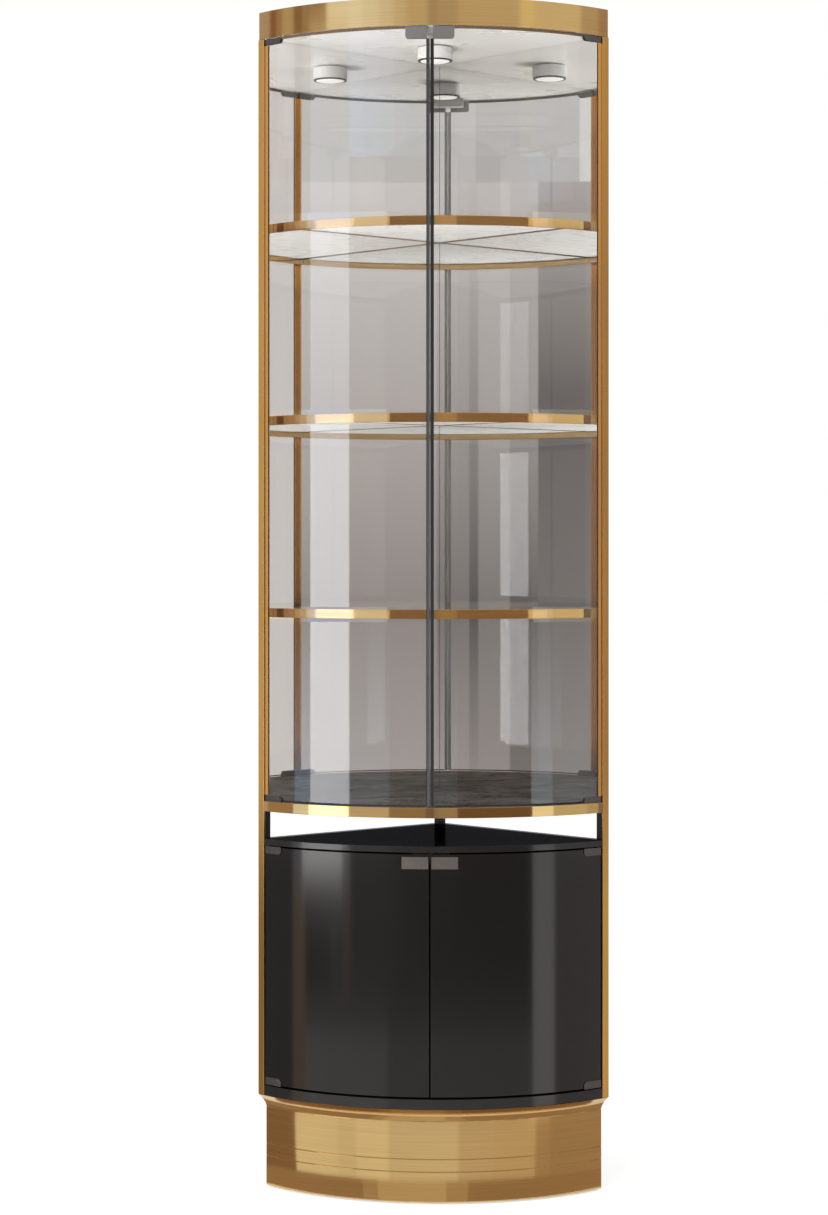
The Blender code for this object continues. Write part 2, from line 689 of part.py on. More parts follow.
def build_doors(kind, bottom, top, look, floor, ceiling):
    """One pair of doors with their clamps and strikes, each on its own vertical axis."""
    top_slot = slot_cutter(f"{kind}_top_slot", top - CLAMP_HEIGHT - CUT, top + GAP)
    bottom_slot = slot_cutter(f"{kind}_bottom_slot", bottom - GAP, bottom + CLAMP_HEIGHT + CUT)
    for side in ("left", "right"):
        name = f"glass_door_{side}" if kind == "glass" else f"lower_door_{side}"
        door = upright(name, ring(DOOR_INNER, DOOR_OUTER, *sided(side, *door_angles())), bottom, top, look)
        pieces = [
            door,
            build_clamp(f"{kind}_clamp_{side}_top", side, True, top, top_slot, ceiling),
            build_clamp(f"{kind}_clamp_{side}_bottom", side, False, bottom, bottom_slot, floor),
        ]
        if kind == "glass":
            pieces.append(build_glass_strike(side, top, top_slot))
        else:
            pieces.append(build_lower_strike(side, top, door))
        carry(axis_empty(f"{kind}_hinge_{side}", (*pivot_place(side), bottom)), *pieces)


# Push latches

def plunger_tip():
    """How far in front of the rear corner the plungers end, just behind the strikes."""
    widest = PLUNGER_SPACING / 2.0 + PLUNGER_RADIUS
    step = math.cos(math.radians(ARC_STEP / 2.0))
    return math.sqrt((CLAMP_INNER * step) ** 2 - widest ** 2) - PLUNGER_GAP


def build_latch(kind, ceiling_level, strike_top):
    """A latch body under a panel, with one plunger behind each door's strike."""
    tip = plunger_tip()
    front = tip - PLUNGER_OUT
    level = strike_top - PLUNGER_DROP
    bottom = level - PLUNGER_RADIUS - LATCH_FLOOR
    height = ceiling_level - GAP - bottom
    bore_end = PLUNGER_IN + PLUNGER_TRAVEL + PIN_HOLE_SPARE
    depth = bore_end + LATCH_REAR_WALL
    width = PLUNGER_SPACING + 2.0 * (PLUNGER_RADIUS + LATCH_SIDE_WALL)
    centre = (0.0, CORNER_Y - front + depth / 2.0, bottom + height / 2.0)
    body = block(f"{kind}_latch_body", (width, depth, height), centre, "black_plastic", edge=LATCH_EDGE)
    bore = hole_radius(PLUNGER_RADIUS + PLUNGER_CLEARANCE)
    for side, x in (("left", -PLUNGER_SPACING / 2.0), ("right", PLUNGER_SPACING / 2.0)):
        open_end = (x, CORNER_Y - front - CUT, level)
        boolean(body, rod(f"{kind}_bore_{side}", bore, open_end, (x, CORNER_Y - front + bore_end, level)))
        rod(f"{kind}_plunger_{side}", PLUNGER_RADIUS, (x, CORNER_Y - tip, level),
            (x, CORNER_Y - front + PLUNGER_IN, level), "grey_plastic")


def build_cabinet():
    build_plinth()
    build_posts()
    cupboard_floor, cupboard_ceiling = build_cupboard()
    slab = build_display_floor()
    build_mirrors()
    for number in range(1, SHELF_COUNT + 1):
        build_shelf(number)
    ceiling = build_crown()
    build_lamp()
    build_doors("glass", SLAB_TOP + DOOR_END_GAP, CROWN_BOTTOM - DOOR_END_GAP, "clear_glass", slab, ceiling)
    build_doors("lower", CUPBOARD_FLOOR + DOOR_END_GAP, CUPBOARD_CEILING - DOOR_END_GAP, "black_glass",
                cupboard_floor, cupboard_ceiling)
    build_latch("glass", CROWN_BOTTOM, CROWN_BOTTOM - DOOR_END_GAP + GAP + CLAMP_PLATE)
    build_latch("lower", CUPBOARD_CEILING, CUPBOARD_CEILING - DOOR_END_GAP - LOWER_STRIKE_DROP)


build_cabinet()
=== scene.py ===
"""Corner display cabinet: its looks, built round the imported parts.

Every curved piece is made again as a fine shape about the upright axis at the rear corner, where
the two mirrors meet. A turn is an angle about that axis: 0 is the middle of the front, negative
is to the left, and the walls lie at 45 degrees on each side.
"""

import json
import math

import bmesh
import bpy
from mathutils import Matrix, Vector

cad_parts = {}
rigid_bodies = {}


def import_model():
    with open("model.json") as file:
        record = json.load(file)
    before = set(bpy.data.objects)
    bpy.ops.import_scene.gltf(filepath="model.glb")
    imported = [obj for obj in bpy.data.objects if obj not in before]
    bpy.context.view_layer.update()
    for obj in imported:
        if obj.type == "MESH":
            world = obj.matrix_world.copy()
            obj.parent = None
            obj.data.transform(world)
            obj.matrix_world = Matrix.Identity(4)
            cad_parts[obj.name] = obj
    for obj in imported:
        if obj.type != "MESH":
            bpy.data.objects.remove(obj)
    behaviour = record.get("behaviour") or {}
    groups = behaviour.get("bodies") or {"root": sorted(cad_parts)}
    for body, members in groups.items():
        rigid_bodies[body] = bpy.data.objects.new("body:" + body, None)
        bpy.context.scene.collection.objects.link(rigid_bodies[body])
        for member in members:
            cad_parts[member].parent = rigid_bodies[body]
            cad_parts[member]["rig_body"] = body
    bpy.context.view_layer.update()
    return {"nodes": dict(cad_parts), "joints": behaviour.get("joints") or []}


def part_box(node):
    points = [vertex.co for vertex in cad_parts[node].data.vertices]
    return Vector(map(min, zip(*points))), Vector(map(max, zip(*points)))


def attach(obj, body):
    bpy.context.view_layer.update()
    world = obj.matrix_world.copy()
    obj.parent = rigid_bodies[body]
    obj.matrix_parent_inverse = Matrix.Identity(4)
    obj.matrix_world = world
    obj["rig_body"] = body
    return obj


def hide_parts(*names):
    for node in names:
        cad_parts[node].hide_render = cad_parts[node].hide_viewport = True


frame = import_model()

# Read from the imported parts
REAR_LOW, REAR_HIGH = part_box("rear_post")
POST = (REAR_HIGH.x - REAR_LOW.x) / math.sqrt(2.0)
CORNER_Y = REAR_LOW.y
FRONT_RADIUS = -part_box("side_post_left")[0].x * math.sqrt(2.0) - POST

# Fine detail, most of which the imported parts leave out. Lengths are in metres, turns in degrees.
WALL_TURN = 45.0
FINE_STEP = 0.75
ROUND_STEPS = 96
EDGE_STEPS = 2
EDGE_ANGLE = math.radians(30.0)
MERGE = 0.000005
FLAT = math.radians(0.5)
CUT_FLAT = FLAT / 10.0
GAP = 0.0003
PAST = 0.010
CORNER_STEPS = 8
SHEET_EDGE = 0.0005
CROWN_EDGE = 0.0009
BOARD_EDGE = 0.0006
REAR_POST_EDGE = 0.0012
GLASS_EDGE = 0.0007
PLATE_EDGE = 0.0003
CROWN_SHEET = 0.0015
CROWN_CORNER = 0.0035
GLAND_BACK = 0.035
GLAND_HOLE = 0.0054
FLOOR_SHEET = 0.002
FLOOR_LIP = 0.0015
SHELF_SHEET = 0.0015
RAIL_WIDTH = 0.008
SKIRT_SHEET = 0.002
FLARE_HEIGHT = 0.021
FLARE_POWER = 1.6
FLARE_STEPS = 14
GROOVES = ((0.051, 0.0008), (0.071, 0.0008))
GROOVE_HEIGHT = 0.0014
CREASE_DEPTH = 0.0004
PIN_RADIUS = 0.002
PIN_ROOM = 0.0002
CHAMFER = 0.004
CHAMFER_SLOPE = math.radians(45.0)
SLOT_PAST = 1.0
STRIKE_ROUND = 0.0045
STUD_RADIUS = 0.0025
STUD_ROOM = 0.0004
CLAMP_TRIM = {"glass": 0.0060, "lower": 0.0028}
SEAL_SPAN = {"left": (0.0042, 0.0027), "right": (0.0052, 0.0002)}
SEAL_PAST = {"left": 0.0012, "right": 0.0004}
SEAL_THICK = 0.0004
SEAL_EDGE = 0.0001
SEAL_OVERLAP = 0.0013
TOP_SEAL_RISE = 0.0023
TRIM_WIDTH = 0.0058
TRIM_PAST = 0.0022
LAMP_NECK = (0.0070, 0.0024)
LAMP_EDGE = 0.0004
LENS_DOME = 0.0015
SHELVES = (1, 2, 3)

# The photograph's view
CAMERA_PLACE = (0.1995, CORNER_Y - 4.911, 1.028)
CAMERA_TURN = math.radians(2.836)
CAMERA_LENS = 85.48
CAMERA_SHIFT = -0.0454
SENSOR = 36.0


# Camera, light and surroundings

WHITE = (1.0, 1.0, 1.0)
WORLD_LIGHT = 0.62
WORLD_COLOUR = (1.0, 0.99, 0.98)
FLOOR_SIZE = 60.0
FLOOR_COLOUR = (0.80, 0.80, 0.795)
FLOOR_GLOW = 0.52

# Cards, which only metal, glass and gloss show. The first two numbers are the turns on the
# cabinet's front between which the camera sees the card reflected. Colours go up it in even steps.
CARD_DISTANCE = 5.8
SIDE_GREY = (0.69, 0.68, 0.76)
WARM_DARK = (0.36, 0.27, 0.22)
WARM_MIDDLE = (0.45, 0.37, 0.31)
WARM_LIGHT = (0.62, 0.55, 0.48)
RIGHT_GREYS = ((0.50, 0.47, 0.45),) * 3
GOLD_GREY = (0.83, 0.82, 0.79)
CREAM_LIGHT = (1.45, 1.55, 1.62)
DAYLIGHT = (1.24, 1.50, 1.93)
LOWER_LEVELS = (0.0, 2.45)
LOWER_CARDS = (
    (-90.0, -43.5, SIDE_GREY),
    (-43.5, -35.0, (0.55, 0.46, 0.38), WARM_DARK, WARM_DARK, WARM_DARK),
    (-35.0, -30.3, DAYLIGHT, WARM_MIDDLE, WARM_MIDDLE, WARM_MIDDLE),
    (-30.3, -19.4, CREAM_LIGHT, WARM_LIGHT, WARM_LIGHT, WARM_LIGHT),
    (-19.4, -9.6, (0.85, 0.87, 0.89), WARM_MIDDLE, WARM_MIDDLE, WARM_LIGHT),
    (-9.6, -0.9, WARM_MIDDLE, WARM_MIDDLE, WARM_MIDDLE, WARM_LIGHT),
    (6.5, 24.6, (0.23, 0.15, 0.10), (0.40, 0.36, 0.33), (0.42, 0.39, 0.36), (0.55, 0.52, 0.49)),
    (24.6, 30.2, (1.50, 1.65, 1.70), *RIGHT_GREYS),
    (30.2, 40.0, (0.90, 0.92, 0.86), *RIGHT_GREYS),
    (40.0, 43.5, (0.72, 0.69, 0.67)),
    (43.5, 90.0, (0.38, 0.31, 0.40)),
)
# Cards seen by way of the mirrors: two turns, and greys from the floor up, which are made a little
# warm by a share of their level, up to a most
WARM_SHARE = 0.09
WARM_MOST = 0.04
COOL_SHARE = 0.4
MIRRORED_CARDS = (
    (-0.9, 0.45, 0.27, 0.17, 0.12, 0.45),
    (0.45, 1.0, 0.25, 0.12, 0.40, 0.60),
    (1.0, 1.6, 0.40, 0.24, 0.50, 0.68),
    (1.6, 1.77, 0.40, 0.10, 0.35, 0.66),
    (1.77, 2.38, 0.45, 0.22, 0.44, 0.68),
    (2.38, 6.5, 0.48, 0.33, 0.56, 0.76),
)
UPPER_LEVELS = (2.45, 4.6)
UPPER_CARDS = (
    (-90.0, -42.7, (0.64, 0.61, 0.69)),
    (-42.7, -40.6, (0.36, 0.20, 0.13)),
    (-40.6, -38.5, (0.50, 0.41, 0.35)),
    (-38.5, -34.9, (0.71, 0.66, 0.61)),
    (-34.9, -32.3, WARM_DARK),
    (-32.3, -30.7, (0.52, 0.45, 0.38)),
    (-30.7, -25.4, (0.40, 0.32, 0.26)),
    (-25.4, -16.0, DAYLIGHT),
    (-16.0, -12.0, (1.15, 1.36, 1.70)),
    (-12.0, -8.5, (1.04, 1.18, 1.40)),
    (-8.5, -5.5, (0.93, 0.98, 1.06)),
    (-5.5, -0.4, GOLD_GREY),
    (-0.4, 1.65, (0.59, 0.57, 0.56)),
    (1.65, 6.5, (0.67, 0.655, 0.64)),
    (6.5, 21.5, (0.80, 0.785, 0.74)),
    (21.5, 25.2, (1.08, 1.07, 0.88)),
    (25.2, 38.0, (0.96, 0.98, 0.93)),
    (38.0, 43.5, (0.70, 0.66, 0.64)),
    (43.5, 90.0, (0.56, 0.46, 0.42)),
)
# Window panes stand between the levels that the shelves' edges reflect. Each row holds the colours
# of one pane, the lowest pane first.
PANE_TURNS = (-30.3, -19.7)
PANE_DISTANCE = 5.7
PANE_ROOM = 0.010
PANE_COLOURS = (
    ((3.9, 3.95, 4.1), (4.8, 4.85, 5.0)),
    ((4.4, 4.45, 4.6), (3.5, 3.55, 3.7)),
    ((1.9, 1.9, 1.95), (2.3, 2.3, 2.35)),
    ((1.1, 1.1, 1.12),),
)
# What the shelves' edges reflect
EDGE_CARDS = (
    (-90.0, -37.0, (0.58, 0.38, 0.23)),
    (-37.0, -33.5, (0.84, 0.66, 0.45)),
    (-33.5, -31.0, (1.15, 1.25, 1.15)),
    (-31.0, -19.4, (1.62, 1.90, 2.75)),
    (-19.4, -10.2, (1.36, 1.42, 1.30)),
    (-10.2, -0.9, (0.31, 0.20, 0.13)),
    (6.5, 9.0, (0.38, 0.25, 0.15)),
    (9.0, 25.0, (0.37, 0.23, 0.13)),
    (25.0, 30.3, (1.62, 1.50, 1.25)),
    (30.3, 43.0, (1.15, 1.05, 0.70)),
    (43.0, 90.0, (0.70, 0.62, 0.52)),
)
# What the shelves' edges show at their right ends, through the mirror
END_CARD = (-0.9, 6.5, (0.64, 0.42, 0.20))
# Glowing cards on the floor: two turns as above, near and far distance from the front, and colour. The rows
# from the front out to 0.15 are painted shadow: darker sheets for the floor's shade beside the plinth,
# which the plinth reflects.
FLOOR_CARD_LEVEL = 0.001
FLOOR_CARDS_WITH_SHADE = (
    (-90.0, -17.5, 0.0, 0.15, (0.47, 0.37, 0.29)),
    (-17.5, -13.5, 0.0, 0.15, (0.60, 0.51, 0.42)),
    (-13.5, 4.0, 0.0, 0.15, (0.76, 0.68, 0.58)),
    (4.0, 9.5, 0.0, 0.15, (0.60, 0.51, 0.42)),
    (9.5, 90.0, 0.0, 0.15, (0.47, 0.37, 0.29)),
    (-90.0, -37.0, 0.15, 0.72, (0.34, 0.245, 0.19)),
    (-37.0, -24.0, 0.15, 0.72, (1.06, 1.12, 1.14)),
    (-24.0, -19.0, 0.15, 0.72, (1.00, 1.03, 1.03)),
    (-19.0, -10.5, 0.15, 0.72, (1.10, 1.15, 1.18)),
    (-10.5, 7.0, 0.15, 0.72, (0.94, 0.96, 0.97)),
    (7.0, 16.0, 0.15, 0.72, (0.80, 0.77, 0.73)),
    (16.0, 27.0, 0.15, 0.72, (0.79, 0.73, 0.65)),
    (27.0, 31.0, 0.15, 0.72, (0.58, 0.48, 0.40)),
    (31.0, 90.0, 0.15, 0.72, (0.52, 0.43, 0.35)),
    (-90.0, -35.4, 0.72, 5.75, (0.26, 0.24, 0.22)),
    (-35.4, -31.7, 0.72, 4.2, (0.95, 0.66, 0.42)),
    (-31.7, -24.6, 2.2, 4.2, (0.16, 0.14, 0.13)),
    (-24.6, -21.0, 2.2, 4.2, (0.30, 0.28, 0.265)),
    (-21.0, -19.3, 2.2, 4.2, (0.66, 0.47, 0.33)),
    (-32.6, -21.4, 4.95, 5.75, (9.0, 8.8, 8.6)),
    (-32.6, -21.4, 4.65, 4.95, (3.2, 3.0, 2.8)),
    (-32.6, -21.4, 4.2, 4.65, (0.9, 0.82, 0.75)),
    (-21.4, -19.3, 4.2, 5.75, (1.2, 1.15, 1.1)),
    (-19.3, -7.0, 2.2, 5.75, (0.30, 0.27, 0.255)),
    (-7.0, 24.9, 2.2, 5.75, (0.22, 0.20, 0.19)),
    (-31.7, -10.0, 0.72, 1.65, (0.92, 0.87, 0.83)),
    (-10.0, 24.9, 0.72, 1.65, (0.62, 0.585, 0.56)),
    (-31.7, -10.0, 1.65, 2.2, (0.45, 0.42, 0.40)),
    (-10.0, 24.9, 1.65, 2.2, (0.36, 0.335, 0.32)),
    (24.9, 30.7, 0.72, 5.75, (1.75, 1.66, 1.60)),
    (30.7, 90.0, 0.72, 5.75, (0.62, 0.56, 0.53)),
)

# Lamps: name, turn, distance, level, width and height, brightness, level aimed at and colour
SOFTBOXES = (
    ("window_light", -55.5, 3.2, 1.20, (1.22, 2.1), 4.2, 1.20, (1.0, 0.99, 0.96)),
    ("front_light", 22.0, 4.2, 3.2, (1.8, 1.4), 2.0, 1.0, WHITE),
    ("right_light", 68.0, 3.6, 1.9, (1.2, 2.0), 1.4, 1.9, (1.0, 0.97, 0.92)),
    ("rear_light", 170.0, 3.8, 3.0, (2.4, 1.6), 1.6, 1.0, WHITE),
    ("low_light", -18.0, 2.1, 0.25, (1.6, 0.6), 18.0, 1.75, WHITE),
)


def make_camera():
    data = bpy.data.cameras.new("photo_view")
    data.sensor_fit = "VERTICAL"
    data.sensor_height = data.sensor_width = SENSOR
    data.lens = CAMERA_LENS
    data.shift_y = CAMERA_SHIFT
    camera = bpy.data.objects.new("photo_view", data)
    camera.location = CAMERA_PLACE
    camera.rotation_euler = (math.radians(90.0), 0.0, CAMERA_TURN)
    bpy.context.scene.collection.objects.link(camera)
    bpy.context.scene.camera = camera
    bpy.context.scene.view_settings.view_transform = "Standard"


def background_share(tree):
    """1 for what sees the background as it is: the camera, and rays by way of metal or glass."""
    rays = tree.nodes.new("ShaderNodeLightPath")
    share = rays.outputs["Is Camera Ray"]
    for name in ("Is Glossy Ray", "Is Transmission Ray"):
        both = tree.nodes.new("ShaderNodeMath")
        both.operation = "MAXIMUM"
        tree.links.new(share, both.inputs[0])
        tree.links.new(rays.outputs[name], both.inputs[1])
        share = both.outputs[0]
    return share


def make_world():
    """White to look at, and a level soft light on the object."""
    world = bpy.data.worlds.new("studio")
    bpy.context.scene.world = world
    world.use_nodes = True
    tree = world.node_tree
    light = tree.nodes["Background"]
    light.inputs["Color"].default_value = (*WORLD_COLOUR, 1.0)
    light.inputs["Strength"].default_value = WORLD_LIGHT
    seen = tree.nodes.new("ShaderNodeBackground")
    seen.inputs["Color"].default_value = (*WHITE, 1.0)
    both = tree.nodes.new("ShaderNodeMixShader")
    tree.links.new(background_share(tree), both.inputs["Fac"])
    tree.links.new(light.outputs[0], both.inputs[1])
    tree.links.new(seen.outputs[0], both.inputs[2])
    tree.links.new(both.outputs[0], tree.nodes["World Output"].inputs["Surface"])


def mesh_object(name, shape):
    mesh = bpy.data.meshes.new(name)
    shape.to_mesh(mesh)
    shape.free()
    thing = bpy.data.objects.new(name, mesh)
    bpy.context.scene.collection.objects.link(thing)
    return thing


def stage_object(name, shape):
    """A stage mesh with an empty node material. Returns the object, its nodes and their end."""
    thing = mesh_object(name, shape)
    made = bpy.data.materials.new(name)
    made.use_nodes = True
    tree = made.node_tree
    tree.nodes.remove(tree.nodes["Principled BSDF"])
    thing.data.materials.append(made)
    return thing, tree, tree.nodes["Material Output"].inputs["Surface"]


def make_floor():
    """A pale floor that keeps the object's soft shadow and goes over into the white behind it."""
    shape = bmesh.new()
    bmesh.ops.create_grid(shape, x_segments=4, y_segments=4, size=FLOOR_SIZE)
    tree, end = stage_object("studio_floor", shape)[1:]
    paint = tree.nodes.new("ShaderNodeBsdfDiffuse")
    paint.inputs["Color"].default_value = (*FLOOR_COLOUR, 1.0)
    glow = tree.nodes.new("ShaderNodeEmission")
    level = tree.nodes.new("ShaderNodeMath")
    level.operation = "MULTIPLY"
    level.inputs[1].default_value = FLOOR_GLOW
    tree.links.new(background_share(tree), level.inputs[0])
    tree.links.new(level.outputs[0], glow.inputs["Strength"])
    both = tree.nodes.new("ShaderNodeAddShader")
    tree.links.new(paint.outputs[0], both.inputs[0])
    tree.links.new(glow.outputs[0], both.inputs[1])
    tree.links.new(both.outputs[0], end)


def around(radius, turn, level):
    """A place about the rear corner's axis."""
    angle = math.radians(turn)
    return Vector((radius * math.sin(angle), CORNER_Y - radius * math.cos(angle), level))


def reflected(turn, distance, level):
    """The place that the camera sees in the curved front at a turn, so far out from the front."""
    spot = around(FRONT_RADIUS, turn, 0.0)
    outward = (spot - Vector((0.0, CORNER_Y, 0.0))).normalized()
    view = (Vector((*CAMERA_PLACE[:2], 0.0)) - spot).normalized()
    return spot + (2.0 * outward.dot(view) * outward - view) * distance + Vector((0.0, 0.0, level))


def reflected_level(level):
    """The height on the cards that the camera sees reflected at a level of the front."""
    range_to_front = CORNER_Y - FRONT_RADIUS - CAMERA_PLACE[1]
    return level + (level - CAMERA_PLACE[2]) * PANE_DISTANCE / range_to_front


def make_card(name, start, end, near, far, colours):
    """A glowing sheet between two turns, from a near to a far edge, each a distance and a level."""
    steps = max(1, round(end - start))
    shape = bmesh.new()
    turns_along = [start + (end - start) * i / steps for i in range(steps + 1)]
    first, second = [[shape.verts.new(reflected(turn, *edge)) for turn in turns_along]
                     for edge in (near, far)]
    for i in range(steps):
        shape.faces.new((first[i], first[i + 1], second[i + 1], second[i]))
    card, tree, surface = stage_object(name, shape)
    place = tree.nodes.new("ShaderNodeTexCoord")
    split = tree.nodes.new("ShaderNodeSeparateXYZ")
    height = tree.nodes.new("ShaderNodeMapRange")
    height.inputs["From Min"].default_value = near[1]
    height.inputs["From Max"].default_value = max(far[1], near[1] + MERGE)
    tree.links.new(place.outputs["Object"], split.inputs[0])
    tree.links.new(split.outputs["Z"], height.inputs["Value"])
    colour = None
    for number, (low, high) in enumerate(zip(colours, colours[1:])):
        part = tree.nodes.new("ShaderNodeMapRange")
        part.inputs["From Min"].default_value = number / (len(colours) - 1)
        part.inputs["From Max"].default_value = (number + 1) / (len(colours) - 1)
        tree.links.new(height.outputs["Result"], part.inputs["Value"])
        mix = tree.nodes.new("ShaderNodeMix")
        mix.data_type = "RGBA"
        tree.links.new(part.outputs["Result"], mix.inputs["Factor"])
        mix.inputs["A"].default_value = (*low, 1.0)
        mix.inputs["B"].default_value = (*high, 1.0)
        if colour:
            tree.links.new(colour, mix.inputs["A"])
        colour = mix.outputs["Result"]
    glow = tree.nodes.new("ShaderNodeEmission")
    glow.inputs["Color"].default_value = (*colours[0], 1.0)
    if colour:
        tree.links.new(colour, glow.inputs["Color"])
    tree.links.new(glow.outputs[0], surface)
    card.visible_camera = False
    card.visible_diffuse = False
    card.visible_shadow = False


def warm_grey(level):
    """A grey with a little more red and less blue, and never much of either."""
    change = min(WARM_SHARE * level, WARM_MOST)
    return (level + change, level, level - COOL_SHARE * change)


def make_cards():
    mirrored = [(start, end, *map(warm_grey, greys)) for start, end, *greys in MIRRORED_CARDS]
    for row, cards, row_levels in (("card_low", LOWER_CARDS, LOWER_LEVELS),
                                   ("card_high", UPPER_CARDS, UPPER_LEVELS),
                                   ("mirrored_card", mirrored, LOWER_LEVELS)):
        edges = [(CARD_DISTANCE, level) for level in row_levels]
        for number, (start, end, *colours) in enumerate(cards, 1):
            make_card(f"{row}_{number}", start, end, *edges, colours)
    stand = PANE_DISTANCE
    bottom = 0.0
    for number, colours in enumerate(PANE_COLOURS, 1):
        node = f"shelf_tray_{number}" if number in SHELVES else "crown_cap"
        low, high = [reflected_level(level) for level in levels(node)]
        top, after = low - PANE_ROOM, high + PANE_ROOM
        make_card(f"pane_{number}", *PANE_TURNS, (stand, bottom), (stand, top), colours)
        if number in SHELVES:
            for part, (start, end, tone) in enumerate(EDGE_CARDS, 1):
                make_card(f"edge_card_{number}_{part}", start, end, (stand, top), (stand, after), [tone])
            start, end, tone = END_CARD
            make_card(f"end_card_{number}", start, end, (stand, low), (stand, high), [tone])
        bottom = after
    # Floor cards; the rows nearest the front are painted shadow, seen in the plinth's metal
    for number, (start, end, near, far, colour) in enumerate(FLOOR_CARDS_WITH_SHADE, 1):
        make_card(f"floor_card_{number}", start, end, (near, FLOOR_CARD_LEVEL), (far, FLOOR_CARD_LEVEL), [colour])


def softbox(name, turn, distance, level, size, brightness, aim_level, colour):
    """An area lamp that faces the cabinet, and which metal and glass don't show."""
    data = bpy.data.lights.new(name, "AREA")
    data.shape = "RECTANGLE"
    data.size, data.size_y = size
    data.energy = brightness * math.pi * size[0] * size[1]
    data.color = colour
    lamp = bpy.data.objects.new(name, data)
    lamp.location = around(distance, turn, level)
    aim = Vector((0.0, CORNER_Y - FRONT_RADIUS / 2.0, aim_level))
    lamp.rotation_euler = (aim - lamp.location).to_track_quat("-Z", "Y").to_euler()
    lamp.visible_camera = False
    lamp.visible_glossy = False
    lamp.visible_transmission = False
    bpy.context.scene.collection.objects.link(lamp)


def make_surroundings():
    make_camera()
    make_world()
    make_floor()
    make_cards()
    for lamp in SOFTBOXES:
        softbox(*lamp)


# Materials

LENS_GLOW = 0.42
GOLD = (0.56, 0.365, 0.15)
# A lighter, more orange copy of the gold for the upright posts and rails: painted light, for the brighter
# posts
LIT_POST_GOLD = (0.73, 0.44, 0.125)
BRUSH_SHARE = 0.7
GRAIN_SHARE = 0.55


def even(scale):
    """The same scale in all three directions."""
    return (scale, scale, scale)


class Look:
    """A procedural material, put together node by node."""

    def __init__(self, name, **sockets):
        self.material = bpy.data.materials.new(name)
        self.material.use_nodes = True
        self.tree = self.material.node_tree
        self.shader = self.tree.nodes["Principled BSDF"]
        for socket, value in sockets.items():
            self.shader.inputs[socket.replace("_", " ")].default_value = value

    def node(self, kind):
        return self.tree.nodes.new(f"ShaderNode{kind}")

    def link(self, output, socket):
        self.tree.links.new(output, socket)

    def into(self, output, name):
        self.link(output, self.shader.inputs[name])

    def math(self, operation, first, second=0.0):
        node = self.node("Math")
        node.operation = operation
        for value, socket in zip((first, second), node.inputs):
            if isinstance(value, (int, float)):
                socket.default_value = value
            else:
                self.link(value, socket)
        return node.outputs[0]

    def length(self, x, y):
        squares = [self.math("MULTIPLY", value, value) for value in (x, y)]
        return self.math("SQRT", self.math("ADD", *squares))

    def mixed(self, first, share, second):
        """The first value's share, and the second value for the rest."""
        rest = self.math("MULTIPLY", second, 1.0 - share)
        return self.math("ADD", self.math("MULTIPLY", first, share), rest)

    def place(self, kind="plain", stretch=even(1.0)):
        """Coordinates on the piece: plain, square to the walls, or along the front's arc."""
        spot = self.node("TexCoord").outputs["Object"]
        if kind == "round":
            split = self.node("SeparateXYZ")
            self.link(spot, split.inputs[0])
            x, y, z = split.outputs
            turn = self.math("ARCTAN2", x, self.math("MULTIPLY", y, -1.0))
            join = self.node("CombineXYZ")
            self.link(self.math("MULTIPLY", turn, FRONT_RADIUS), join.inputs[0])
            self.link(self.length(x, y), join.inputs[1])
            self.link(z, join.inputs[2])
            spot = join.outputs[0]
        mapping = self.node("Mapping")
        if kind == "walls":
            mapping.inputs["Rotation"].default_value = (0.0, 0.0, math.radians(WALL_TURN))
            self.link(spot, mapping.inputs["Vector"])
            spot = mapping.outputs[0]
            mapping = self.node("Mapping")
        mapping.inputs["Scale"].default_value = stretch
        self.link(spot, mapping.inputs["Vector"])
        return mapping.outputs[0]

    def noise(self, spot, scale=1.0, detail=3.0, roughness=0.5, distortion=0.0):
        node = self.node("TexNoise")
        node.inputs["Scale"].default_value = scale
        node.inputs["Detail"].default_value = detail
        node.inputs["Roughness"].default_value = roughness
        node.inputs["Distortion"].default_value = distortion
        self.link(spot, node.inputs["Vector"])
        return node.outputs["Fac"]

    def cells(self, spot, scale):
        node = self.node("TexVoronoi")
        node.inputs["Scale"].default_value = scale
        self.link(spot, node.inputs["Vector"])
        return node.outputs["Distance"]

    def ramp(self, value, *stops):
        """A colour ramp. Each stop is its position and colour."""
        node = self.node("ValToRGB")
        while len(node.color_ramp.elements) < len(stops):
            node.color_ramp.elements.new(0.5)
        for element, (position, colour) in zip(node.color_ramp.elements, stops):
            element.position = position
            element.color = (*colour, 1.0)
        self.link(value, node.inputs[0])
        return node.outputs["Color"]

    def span(self, value, low, high, least=0.3, most=0.7):
        """Carries a value from least and most, which suit a noise, over to low and high."""
        node = self.node("MapRange")
        for socket, number in (("From Min", least), ("From Max", most), ("To Min", low), ("To Max", high)):
            node.inputs[socket].default_value = number
        self.link(value, node.inputs["Value"])
        return node.outputs["Result"]

    def relief(self, height, depth):
        node = self.node("Bump")
        node.inputs["Distance"].default_value = depth
        self.link(height, node.inputs["Height"])
        self.into(node.outputs["Normal"], "Normal")

    def tint(self, value, colour, change):
        """Base colour that goes from darker to lighter by a share of itself."""
        dark = [c * (1.0 - change) for c in colour]
        light = [min(1.0, c * (1.0 + change)) for c in colour]
        self.into(self.ramp(value, (0.3, dark), (0.7, light)), "Base Color")


def brushed(name, colour, roughness, kind, stretch, change, depth=0.00002):
    """Metal with long fine brush marks, and softer cloudy wear over them.

    Change is the share by which the tone varies, and depth is that of the marks.
    """
    look = Look(name, Metallic=1.0)
    marks = look.noise(look.place(kind, stretch), detail=5.0, roughness=0.6)
    clouds = look.noise(look.place(stretch=even(5.0)), detail=2.0)
    both = look.mixed(marks, BRUSH_SHARE, clouds)
    look.tint(both, colour, change)
    look.into(look.span(both, roughness * 0.8, roughness * 1.25), "Roughness")
    look.relief(marks, depth)
    return look.material


